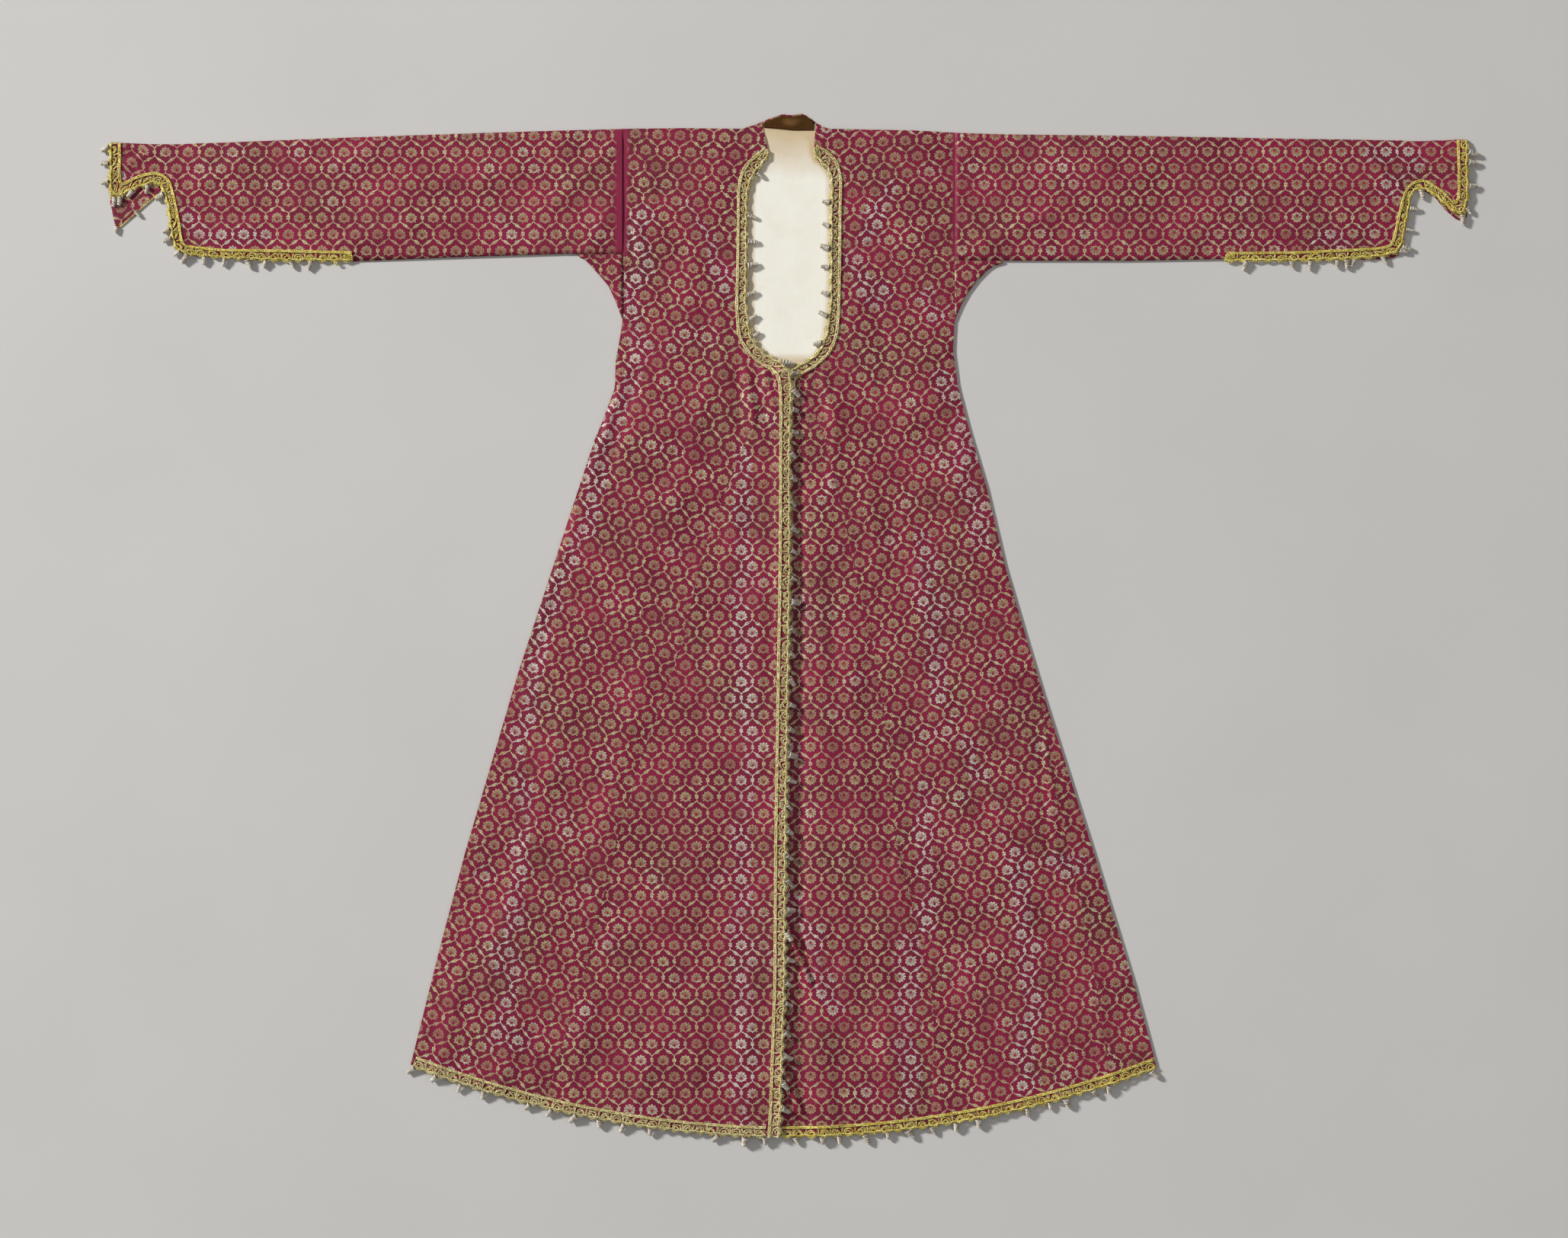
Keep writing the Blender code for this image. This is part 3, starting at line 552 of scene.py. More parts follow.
def inner_edge(edge_table, seam_table, shift):
    """A front panel's inner line: the neck's edge, then the gore's seam below its foot."""
    return lambda y: np.where(y > NECK_FOOT_Y, eased(edge_table, y), eased(seam_table, y)) + shift


def line(table, shift=0.0):
    """A side line of a cloth, moved aside by shift."""
    return lambda y: eased(table, y) + shift


# The strip let in at the left side seam near the hem, columns (y, x) of its seam.
SIDE_GORE_SEAM = (
    (-60, 326), (-151, 343), (-184, 347), (-435, 399), (-480, 407), (-558, 419), (-620, 428),
)
SIDE_GORE_TOP_Y = -85.0


def left_panel_side(y):
    """The left panel's side: its side seam, then the strip's seam."""
    side, seam = eased(LEFT_SIDE, y) - SEAM_HALF, eased(SIDE_GORE_SEAM, y) - SEAM_HALF
    return np.where(y > SIDE_GORE_TOP_Y, side, np.minimum(side, seam))


def make_fronts(material):
    """Both front panels, both centre-front gores and the strip in the left side seam."""
    pieces = (
        ("front_right_cloth", SHOULDER_Y, line(RIGHT_SIDE, SEAM_HALF),
         inner_edge(RIGHT_FRONT_EDGE, RIGHT_GORE_SEAM, -SEAM_HALF), 38, 180, True,
         (RIGHT_PANEL_GRAIN, (-238, 0), (-331.8, -209.7))),
        ("front_left_cloth", SHOULDER_Y, inner_edge(LEFT_FRONT_EDGE, LEFT_GORE_SEAM, SEAM_HALF),
         left_panel_side, 38, 180, False, (LEFT_PANEL_GRAIN, (209, 0), (140.5, 248))),
        ("gore_right_cloth", GORE_TOP_Y, line(RIGHT_GORE_SEAM, SEAM_HALF), line(RIGHT_FRONT_EDGE),
         46, 150, True, (UPRIGHT, (0, 0), (-60, -200))),
        ("gore_left_cloth", GORE_TOP_Y, line(LEFT_FRONT_EDGE), line(LEFT_GORE_SEAM, -SEAM_HALF),
         60, 130, False, (UPRIGHT, (0, 0), (60, -200), True)),
        ("side_gore_left_cloth", SIDE_GORE_TOP_Y, line(SIDE_GORE_SEAM, SEAM_HALF),
         line(LEFT_SIDE, -SEAM_HALF), 12, 45, False, (SIDE_GORE_GRAIN, (420, -450), (418, -488))),
    )
    return {row[0]: front_piece(*row, material) for row in pieces}


def make_back(material):
    """The back, flat on the floor, from the shoulders to the hem."""
    rows = np.append(np.arange(SHOULDER_Y, HEM_MIDDLE_Y, -BACK_ROW_STEP), HEM_MIDDLE_Y)
    columns = np.linspace(0, 1, BACK_COLUMNS)
    x, y = body_grid(rows, line(RIGHT_SIDE, SEAM_HALF), line(LEFT_SIDE, -SEAM_HALF), columns)
    top = np.stack([x, y, np.full_like(x, BACK_TOP)], -1)
    under = np.stack([x, y, np.zeros_like(x)], -1)
    uv = np.stack(grain(x, y, UPRIGHT, (0, 0), (0, 0)), -1)
    none = np.zeros_like(x)
    return shell("back_cloth", top, under, material, uv, {"silver": none, "plain": none})


# Painted shade on the lining beside the fronts' edges: how far it reaches out of each front's edge,
# its fade and its strength.
RIGHT_SHADE, RIGHT_SHADE_FADE = 11.5, 4
LEFT_SHADE, LEFT_SHADE_FADE = 9, 8
SHADE_STRENGTH = 0.8
# Beside the right front the painted shade starts below the first height; it also lies above the
# neck's foot.
SHADE_TOP_Y, SHADE_TOP_FADE = 610, 30
SHADE_FOOT_Y, SHADE_FOOT_FADE = 361, 9
LINING_WAVE = 0.12


def make_lining(material):
    """The cream lining of the back, seen in the neck."""
    top_y, foot_y = LINING_SIDES[0][0], LINING_SIDES[-1][0]
    rows = np.append(np.arange(top_y, foot_y, -ROW_STEP), foot_y)
    columns = np.linspace(0, 1, LINING_COLUMNS)
    left, right = read(LINING_SIDES, rows, 1)[:, None], read(LINING_SIDES, rows, 2)[:, None]
    x = left + columns[None, :] * (right - left)
    y = np.repeat(rows[:, None], len(columns), 1)
    wave = LINING_WAVE * np.sin(x / 9 + np.sin(y / 30)) * np.sin(y / 37) + LINING_WAVE
    top = np.stack([x, y, LINING_TOP + wave], -1)
    under = np.stack([x, y, LINING_LOW + wave * 0.5], -1)
    uv = np.stack([x, y], -1)
    # Painted shade: the cream darkens in bands beside both fronts' edges and at its foot, where the
    # fronts stand above it.
    beside_right = smooth((RIGHT_SHADE - x + read(RIGHT_FRONT_EDGE, y)) / RIGHT_SHADE_FADE)
    beside_left = smooth((LEFT_SHADE - read(LEFT_FRONT_EDGE, y) + x) / LEFT_SHADE_FADE)
    below_rim = smooth((SHADE_TOP_Y - y) / SHADE_TOP_FADE)
    painted_light_and_stain = beside_right * below_rim * SHADE_STRENGTH
    painted_light_and_stain = np.maximum(painted_light_and_stain, beside_left * SHADE_STRENGTH)
    painted_light_and_stain = np.maximum(painted_light_and_stain, smooth((SHADE_FOOT_Y - y) / SHADE_FOOT_FADE))
    return shell("lining_cloth", top, under, material, uv, {"painted_light_and_stain": painted_light_and_stain})


# The facing's crown and its small waves, and the place and width of the painted sheen on its middle.
FACING_CROWN, FACING_WAVE = 0.5, 0.25
FACING_SHEEN_X, FACING_SHEEN_WIDTH = 4, 15
# Away from the painted sheen its mark starts this far below nothing, so that it cancels the painted
# shade that the finish adds towards the top.
FACING_SHADE_OFFSET = 2.0


def make_facing(material):
    """The brown silk facing below the back neck's rim."""
    columns = np.linspace(0, 1, FACING_COLUMNS)
    start, end = FACING_FOOT[0][0], FACING_FOOT[-1][0]
    x_line = start + (end - start) * columns
    rim = eased(SHOULDER_LINE, x_line, reach=2.0) - FACING_BELOW_RIM
    foot = read(FACING_FOOT, x_line)
    share = np.linspace(0, 1, FACING_ROWS)[:, None]
    y = rim[None, :] + share * (foot - rim)[None, :]
    x = np.repeat(x_line[None, :], len(share), 0)
    crown = np.sin(math.pi * share)
    bulge = FACING_CROWN * crown + FACING_WAVE * np.sin(x / 5) * crown
    top = np.stack([x, y, FRONT_LOW + LINING_WALL + bulge], -1)
    under = np.stack([x, y, FRONT_LOW + bulge * 0.6], -1)
    uv = np.stack([x, y], -1)
    # Painted sheen: a lighter patch on the crown of the facing's middle.
    wear_and_painted_sheen = np.exp(-((x - FACING_SHEEN_X) / FACING_SHEEN_WIDTH) ** 2) * crown - FACING_SHADE_OFFSET
    return shell("facing_cloth", top, under, material, uv, {"painted_light_and_stain": wear_and_painted_sheen})


# Sleeves and gussets, columns: piece, sections, fold at the top, a flower's place, pattern upside
# down, the armhole whose plain strip it shares.
FOLDED = (
    ("sleeve_right_cloth", RIGHT_SLEEVE, True, (-420, 560), False, RIGHT_ARMHOLE_X),
    ("sleeve_left_cloth", LEFT_SLEEVE, True, (420, 560), True, LEFT_ARMHOLE_X),
    ("gusset_right_cloth", RIGHT_GUSSET, False, (-230, 470), False, FAR_AWAY),
    ("gusset_left_cloth", LEFT_GUSSET, False, (236, 462), True, FAR_AWAY),
)
FOLDED_STEP = 6.0
# The tongue of the right cuff is pulled up a little beyond this x.
TONGUE_X, TONGUE_TILT = -836, 0.35


def folded_cloth(name, table, fold_at_top, flower, turned, seam_x, material):
    """A sleeve or gusset: upper layer, round fold and under layer, as one C-shaped shell."""
    ends = column(table, 0)
    xs = np.unique(np.concatenate([ends, np.arange(min(ends), max(ends), FOLDED_STEP)]))
    fold_y, upper_y, under_y = (read(table, xs, n)[:, None] for n in (1, 2, 3))
    turn = 1 if fold_at_top else -1
    radius = SLEEVE_HEIGHT / 2
    centre = fold_y - turn * radius
    share = np.linspace(0, 1, LAYER_POINTS)[None, :]
    x_upper = np.repeat(xs[:, None], share.shape[1], 1)
    y_upper = upper_y + share * (centre - upper_y)
    rise = sleeve_rise(share, x_upper, y_upper, centre - upper_y)
    angle = np.linspace(0, math.pi, FOLD_POINTS)[None, 1:-1]
    x_turn = np.repeat(xs[:, None], angle.shape[1], 1)
    y_under = centre + share * (under_y - centre)
    outer = [(x_upper, y_upper, SLEEVE_HEIGHT + rise),
             (x_turn, centre + turn * radius * np.sin(angle), radius + radius * np.cos(angle)),
             (x_upper, y_under, np.zeros_like(y_under))]
    short = radius - CLOTH
    inner = [(x_upper, y_upper, SLEEVE_HEIGHT - CLOTH + rise),
             (x_turn, centre + turn * short * np.sin(angle), radius + short * np.cos(angle)),
             (x_upper, y_under, np.full_like(y_under, CLOTH))]
    outer, inner = (np.concatenate([np.stack(np.broadcast_arrays(*part), -1) for part in parts], 1)
                    for parts in (outer, inner))
    steps = np.linalg.norm(np.diff(outer[:, :, 1:], axis=1), axis=2)
    run = np.concatenate([np.zeros((len(xs), 1)), np.cumsum(steps, 1)], 1)
    x = outer[:, :, 0]
    v = upper_y + turn * run - TONGUE_TILT * np.maximum(TONGUE_X - x, 0)
    sign = -1 if turned else 1
    uv = np.stack([sign * (x - flower[0]), sign * (v - flower[1])], -1)
    strip = np.where(x < 0, RIGHT_SLEEVE_PLAIN, LEFT_SLEEVE_PLAIN)
    plain = smooth((strip - np.abs(x - seam_x)) / PLAIN_FADE)
    silver = silver_share(x, np.where(outer[:, :, 2] > radius, outer[:, :, 1], FAR_AWAY))
    return shell(name, outer, inner, material, uv, {"silver": silver, "plain": plain})


class Value:
    """A number in a shader tree; the usual signs add Math nodes."""

    def __init__(self, tree, socket):
        self.tree, self.socket = tree, socket

    def math(self, operation, *others):
        node = self.tree.nodes.new("ShaderNodeMath")
        node.operation = operation
        for slot, value in zip(node.inputs, (self, *others)):
            if isinstance(value, Value):
                self.tree.links.new(value.socket, slot)
            else:
                slot.default_value = value
        return Value(self.tree, node.outputs[0])

    def __add__(self, other):
        return self.math("ADD", other)

    def __sub__(self, other):
        return self.math("SUBTRACT", other)

    def __mul__(self, other):
        return self.math("MULTIPLY", other)

    def __truediv__(self, other):
        return self.math("DIVIDE", other)

    __radd__ = __add__
    __rmul__ = __mul__

    def __rsub__(self, other):
        return (self * -1.0) + other

    def size(self):
        return self.math("ABSOLUTE")

    def between(self, low, high):
        """0 below low, 1 above high and smooth between; the other way round if low > high."""
        node = self.tree.nodes.new("ShaderNodeMapRange")
        node.interpolation_type = "SMOOTHSTEP"
        self.tree.links.new(self.socket, node.inputs["Value"])
        ends = (low, high, 0.0, 1.0) if low < high else (high, low, 1.0, 0.0)
        for label, value in zip(("From Min", "From Max", "To Min", "To Max"), ends):
            node.inputs[label].default_value = value
        return Value(self.tree, node.outputs["Result"])


def length_of(a, b):
    return (a * a + b * b).math("SQRT")


def most(*values):
    found = values[0]
    for value in values[1:]:
        found = found.math("MAXIMUM", value)
    return found


def new_material(name):
    """A material with its tree and its shader."""
    made = bpy.data.materials.new(name)
    made.use_nodes = True
    tree = made.node_tree
    return made, tree, tree.nodes["Principled BSDF"]


def read_attribute(tree, name):
    """A number that each point of the piece carries."""
    node = tree.nodes.new("ShaderNodeAttribute")
    node.attribute_name = name
    return Value(tree, node.outputs["Fac"])


def joined(tree, *parts):
    """A vector from up to three numbers."""
    node = tree.nodes.new("ShaderNodeCombineXYZ")
    for slot, part in zip(node.inputs, parts):
        if isinstance(part, Value):
            tree.links.new(part.socket, slot)
        else:
            slot.default_value = part
    return node.outputs[0]


def noise(tree, vector, scale, detail=2.0, rough=0.5):
    node = tree.nodes.new("ShaderNodeTexNoise")
    node.inputs["Scale"].default_value = scale
    node.inputs["Detail"].default_value = detail
    node.inputs["Roughness"].default_value = rough
    tree.links.new(vector, node.inputs["Vector"])
    return Value(tree, node.outputs["Fac"])


def cloth_noise(u, v, layer, scale=1.0, detail=2.0, rough=0.5):
    """Noise over the cloth's own map; each use has a layer of its own."""
    return noise(u.tree, joined(u.tree, u, v, layer), scale, detail, rough)


def weave_map(tree):
    """Places along and across the cloth's threads, in millimetres."""
    uv = tree.nodes.new("ShaderNodeUVMap")
    uv.uv_map = "weave"
    split = tree.nodes.new("ShaderNodeSeparateXYZ")
    tree.links.new(uv.outputs[0], split.inputs[0])
    return [Value(tree, split.outputs[i]) * 1000.0 for i in (0, 1)]


def object_place(tree):
    """A point's place in the piece's own frame, in metres."""
    return tree.nodes.new("ShaderNodeTexCoord").outputs["Object"]


def set_finish(shader, **values):
    """Sets the shader's own sockets, named with _ for each space."""
    for label, value in values.items():
        shader.inputs[label.replace("_", " ")].default_value = value


def blended(tree, low, high, share):
    """A colour between two colours or colour sockets."""
    node = tree.nodes.new("ShaderNodeMix")
    node.data_type = "RGBA"
    tree.links.new(share.socket, node.inputs["Factor"])
    for label, value in (("A", low), ("B", high)):
        slot = next(s for s in node.inputs if s.name == label and s.type == "RGBA")
        if isinstance(value, tuple):
            slot.default_value = (*value, 1.0)
        else:
            tree.links.new(value, slot)
    return next(s for s in node.outputs if s.type == "RGBA")


def bump(tree, height, strength, distance):
    node = tree.nodes.new("ShaderNodeBump")
    node.inputs["Strength"].default_value = strength
    node.inputs["Distance"].default_value = distance
    tree.links.new(height.socket, node.inputs["Height"])
    return node.outputs[0]


# The woven repeat, in millimetres: flowers in half-drop rows inside an ogee lattice.
REPEAT_WIDE = 29.3
ROW_HIGH = 21.6
LINK_HALF = 5.2
LEAF_LONG, LEAF_WIDE = 5.0, 2.0
DOT_BELOW = 2.0
TWILL_STEP = 0.9
# The plain cloths: the step of their threads, and where the painted shade below the neck's rim
# begins.
THREAD_STEP = 0.8
NECK_SHADE_Y = 585.0

GROUND_DEEP = (0.150, 0.0065, 0.032)
GROUND_ROSE = (0.300, 0.014, 0.061)
GROUND_DULL = (0.140, 0.018, 0.034)
THREAD_GAP = (0.045, 0.010, 0.010)
COPPER = (0.57, 0.415, 0.24)
PALE_GILT = (0.83, 0.765, 0.42)
SILVER = (0.92, 0.85, 0.71)
RED_DOT = (0.46, 0.002, 0.035)
PLAIN_ROSE = (0.27, 0.020, 0.065)


def lattice(u, v):
    """The ogee lattice of stems, paired leaves and rosettes, and places within its meshes."""
    half = REPEAT_WIDE / 2
    xa, ya = u.math("WRAP", half, -half), v.math("WRAP", ROW_HIGH, -ROW_HIGH)
    xb = (u + half).math("WRAP", half, -half)
    yb = (v + ROW_HIGH).math("WRAP", ROW_HIGH, -ROW_HIGH)
    ax, ay = xa.size(), ya.size()

    slant = ROW_HIGH - 2 * LINK_HALF
    share = ((ay - LINK_HALF) / slant).math("MAXIMUM", 0.0).math("MINIMUM", 1.0)
    curve = 0.5 - (share * math.pi).math("COSINE") * 0.5
    side = half - (share * 0.6 + curve * 0.4) * half
    inside = ax.math("LESS_THAN", side)
    line_away = (ax - side).size() * (1.0 - (share * math.pi).math("SINE") * 0.5)
    stem = line_away.between(0.95, 0.35)

    run = math.hypot(half, slant)
    dir_x, dir_y = -half / run, slant / run
    leaf_x, leaf_y = ax - half / 2, ay - ROW_HIGH / 2
    along = leaf_x * dir_x + leaf_y * dir_y
    across = (leaf_x * dir_y - leaf_y * dir_x).size()
    outline = LEAF_WIDE * (1.0 - (along / LEAF_LONG) * (along / LEAF_LONG))
    outline = outline + (along * 3.9).math("SINE") * 0.45
    leaf = (outline - across).between(-0.25, 0.35)

    upper = ay.math("GREATER_THAN", ROW_HIGH / 2)
    rose_x = (half - ax) + (ax - (half - ax)) * upper
    rose_y = ay + ((ROW_HIGH - ay) - ay) * upper
    rose_r = length_of(rose_x, rose_y) + 0.001
    product = (rose_x * rose_y) / (rose_r * rose_r)
    four = 1.0 - product * product * 8.0
    rosette = (rose_r - (2.5 - four * 0.6)).between(0.3, -0.3) * rose_r.between(0.5, 1.1)
    return most(stem, leaf, rosette), xb + (xa - xb) * inside, yb + (ya - yb) * inside


def flower_at(fx, fy):
    """One flower: a fan of lobed petals, a curved leaf below it and a foot; then its red dot."""
    qx, qy = fx, fy + DOT_BELOW
    reach = length_of(qx, qy)
    turn = qx.math("ARCTAN2", qy)
    turn_size = turn.size()
    lobes = (turn * 12.0).math("COSINE")
    rim = 8.2 - turn_size * 0.75 + lobes * 0.75
    fan = (reach - rim).between(0.35, -0.35) * reach.between(1.0, 1.7)
    fan = fan * ((turn * 24.0).math("COSINE") + reach * 0.13).between(-0.45, 0.15)
    fan = fan * turn_size.between(2.3, 2.15) * (lobes + reach * 0.05).between(-0.95, -0.45)
    leaf_r = length_of(qx, qy - 1.4)
    leaf = (leaf_r - 4.8).size().between(1.35, 0.8) * qy.between(-0.2, -0.9)
    leaf = leaf * qx.size().between(0.5, 1.1)
    foot = (qx.size() + (qy + 3.8).size() * 0.42).between(1.2, 0.7)
    return most(fan, leaf, foot), reach.between(1.0, 0.5)


def brocade():
    """Crimson twill with the lattice in broken metal floats, gilt, pale or silver."""
    made, tree, shader = new_material("crimson_brocade")
    u, v = weave_map(tree)
    u_bent = u + (cloth_noise(u, v, 0.0, 0.16, 1.0) - 0.5) * 2.6
    v_bent = v + (cloth_noise(v, u, 7.0, 0.16, 1.0) - 0.5) * 2.6
    net, fx, fy = lattice(u_bent, v_bent)
    flower, dot = flower_at(fx, fy)
    plain = read_attribute(tree, "plain")
    motif = most(net, flower) * (1.0 - plain)
    floats = cloth_noise(u * 0.62, v * 1.35, 3.0, 1.0, 1.0, 0.6)
    dash = floats.between(0.37, 0.53)

    # One chance for each mesh of the lattice, so that each flower has its own metal and wear.
    cell = joined(tree, (u_bent - fx).math("ROUND"), (v_bent - fy).math("ROUND"), 0.0)
    pick = tree.nodes.new("ShaderNodeTexWhiteNoise")
    tree.links.new(cell, pick.inputs["Vector"])
    chance = Value(tree, pick.outputs["Value"])

    runs = read_attribute(tree, "silver")
    streak = cloth_noise(u * 0.1, v * 0.55, 11.0)
    silver = runs * 0.8 + (streak - 0.5) * 0.7 + (chance - 0.5) * 0.75 + 0.08
    cloud = cloth_noise(u, v, 0.0, 0.045)
    tone = cloud * 1.3 + chance * 0.6 - 0.35 + (floats - 0.5) * 1.2 - flower * 0.4
    metal = blended(tree, COPPER, PALE_GILT, tone.between(0.1, 0.95))
    metal = blended(tree, metal, SILVER, silver.between(0.36, 0.52))
    metal = blended(tree, THREAD_GAP, metal, dash)

    weft = cloth_noise(u * 0.05, v * 2.2, 5.0)
    warp = cloth_noise(u * 2.2, v * 0.05, 9.0)
    patch = cloth_noise(u, v, 21.0, 0.02, 3.0)
    deep_or_rose = (patch * 1.5 + weft * 0.35 + warp * 0.35 - 0.62).between(0.0, 1.0)
    ground = blended(tree, GROUND_DEEP, GROUND_ROSE, deep_or_rose)
    dull = cloth_noise(u, v, 60.0, 0.014, 3.0).between(0.48, 0.68)
    ground = blended(tree, ground, GROUND_DULL, most(dull, runs * 0.5) * 0.6)
    ground = blended(tree, ground, PLAIN_ROSE, plain * 0.75)
    wear_and_painted_sheen = cloth_noise(u, v, 40.0, 0.03, 3.0).between(0.30, 0.62)
    cover = motif * (wear_and_painted_sheen * 0.35 + 0.65) * (chance.between(0.0, 0.15) * 0.3 + 0.7)
    colour = blended(tree, ground, metal, cover)
    colour = blended(tree, colour, RED_DOT, dot * (1.0 - plain) * chance.between(0.1, 0.3))
    tree.links.new(colour, shader.inputs["Base Color"])

    glint = cover * dash
    tree.links.new((glint * 0.3).socket, shader.inputs["Metallic"])
    tree.links.new((0.56 - glint * 0.14).socket, shader.inputs["Roughness"])
    twill = ((u + v * 0.8) * (2 * math.pi / TWILL_STEP)).math("SINE")
    relief = glint * 0.9 + twill * 0.10 + warp * 0.25
    tree.links.new(bump(tree, relief, 0.5, 0.00035), shader.inputs["Normal"])
    set_finish(shader, Sheen_Weight=0.03, Sheen_Roughness=0.4,
               Sheen_Tint=(0.95, 0.55, 0.65, 1.0), Specular_IOR_Level=0.22)
    return made


def woven_plain(name, pale, dark, painted_light_and_stain_colour, rough, sheen):
    """A plain weave with slubs along the warp and random stains, with the painted light that each
    piece's mark carries and painted shade towards the top.
    """
    made, tree, shader = new_material(name)
    x, y = weave_map(tree)
    slub = cloth_noise(x * 0.9, y * 0.02, 0.0, 1.0, 3.0)
    weft = cloth_noise(x * 0.03, y * 1.1, 4.0)
    stain = cloth_noise(x, y, 2.0, 0.03, 3.0)
    colour = blended(tree, dark, pale, (slub * 0.8 + weft * 0.5 - 0.1).between(0.1, 0.8))
    # Painted light: the piece's mark (painted shade on the lining, a painted sheen on the facing) and
    # painted shade that grows towards the neck's rim, with random stains mixed in.
    painted_light_and_stain = read_attribute(tree, "painted_light_and_stain") * 0.8 + (y - NECK_SHADE_Y).math("MAXIMUM", 0.0) * 0.016
    painted_light_and_stain = (painted_light_and_stain + (stain - 0.5) * 0.5).math("MAXIMUM", 0.0).math("MINIMUM", 1.0)
    colour = blended(tree, colour, painted_light_and_stain_colour, painted_light_and_stain * 0.8)
    tree.links.new(colour, shader.inputs["Base Color"])
    waves = 2 * math.pi / THREAD_STEP
    thread = (x * waves).math("SINE") * (y * waves).math("SINE")
    tree.links.new(bump(tree, thread * 0.3 + slub, 0.5, 0.0003), shader.inputs["Normal"])
    set_finish(shader, Roughness=rough, Sheen_Weight=sheen, Specular_IOR_Level=0.12)
    return made


def wire_metal(name, bright, deep, gap, rough, gap_share):
    """Metal thread: bright and deep strands with dark gaps between their windings."""
    made, tree, shader = new_material(name)
    where = object_place(tree)
    tone = noise(tree, where, 220.0, 2.0)
    winding = noise(tree, where, 900.0, 1.0, 0.6)
    colour = blended(tree, deep, bright, tone.between(0.36, 0.62))
    colour = blended(tree, gap, colour, winding.between(gap_share - 0.1, gap_share + 0.04))
    tree.links.new(colour, shader.inputs["Base Color"])
    tree.links.new((rough + (winding - 0.5) * 0.2).socket, shader.inputs["Roughness"])
    tree.links.new(bump(tree, winding + tone * 0.5, 0.7, 0.0006), shader.inputs["Normal"])
    set_finish(shader, Metallic=0.15)
    return made


def thread_finish(name, colour_a, colour_b):
    """Silk thread, uneven in colour along its length."""
    made, tree, shader = new_material(name)
    tone = noise(tree, object_place(tree), 500.0, 2.0)
    tree.links.new(blended(tree, colour_a, colour_b, tone), shader.inputs["Base Color"])
    tree.links.new(bump(tree, tone, 0.4, 0.0002), shader.inputs["Normal"])
    set_finish(shader, Roughness=0.6)
    return made


def node_tree(name, inputs):
    """A Geometry Nodes tree with named inputs; returns it, its inputs and its output node."""
    tree = bpy.data.node_groups.new(name, "GeometryNodeTree")
    tree.interface.new_socket("Geometry", in_out="INPUT", socket_type="NodeSocketGeometry")
    for label, kind in inputs:
        tree.interface.new_socket(label, in_out="INPUT", socket_type=f"NodeSocket{kind}")
    tree.interface.new_socket("Geometry", in_out="OUTPUT", socket_type="NodeSocketGeometry")
    given = {socket.name: socket for socket in tree.nodes.new("NodeGroupInput").outputs}
    return tree, given, tree.nodes.new("NodeGroupOutput")


def add_node(tree, kind, settings=None, **links):
    """A node with its settings, and its inputs linked or set by name."""
    made = tree.nodes.new(kind)
    for label, value in (settings or {}).items():
        setattr(made, label, value)
    for label, value in links.items():
        slot = next(s for s in made.inputs if s.name == label.replace("_", " ") and s.enabled)
        if isinstance(value, bpy.types.NodeSocket):
            tree.links.new(value, slot)
        else:
            slot.default_value = value
    return made


def named(tree, name, kind):
    """An attribute of the points, read in a Geometry Nodes tree."""
    made = tree.nodes.new("GeometryNodeInputNamedAttribute")
    made.data_type = kind
    made.inputs["Name"].default_value = name
    return next(s for s in made.outputs if s.name == "Attribute" and s.enabled)


def close_tree(tree, given, given_out, geometry, painted_part=True):
    """Realize, shade smooth, set the finish and end the tree."""
    real = add_node(tree, "GeometryNodeRealizeInstances", Geometry=geometry)
    soft = add_node(tree, "GeometryNodeSetShadeSmooth", Geometry=real.outputs[0])
    painted = add_node(tree, "GeometryNodeSetMaterial", Geometry=soft.outputs[0],
                       Selection=painted_part, Material=given["Finish"])
    tree.links.new(painted.outputs[0], given_out.inputs[0])
    return tree


def wire_tree():
    """Sweeps a round wire along the edges it is given; "radius" is in each point."""
    tree, given, out = node_tree("swept_wire", (("Sides", "Int"), ("Finish", "Material")))
    path = add_node(tree, "GeometryNodeMeshToCurve", Mesh=given["Geometry"])
    profile = add_node(tree, "GeometryNodeCurvePrimitiveCircle", Resolution=given["Sides"])
    swept = add_node(tree, "GeometryNodeCurveToMesh", Curve=path.outputs[0],
                     Profile_Curve=profile.outputs[0], Scale=named(tree, "radius", "FLOAT"),
                     Fill_Caps=True)
    return close_tree(tree, given, out, swept.outputs[0])


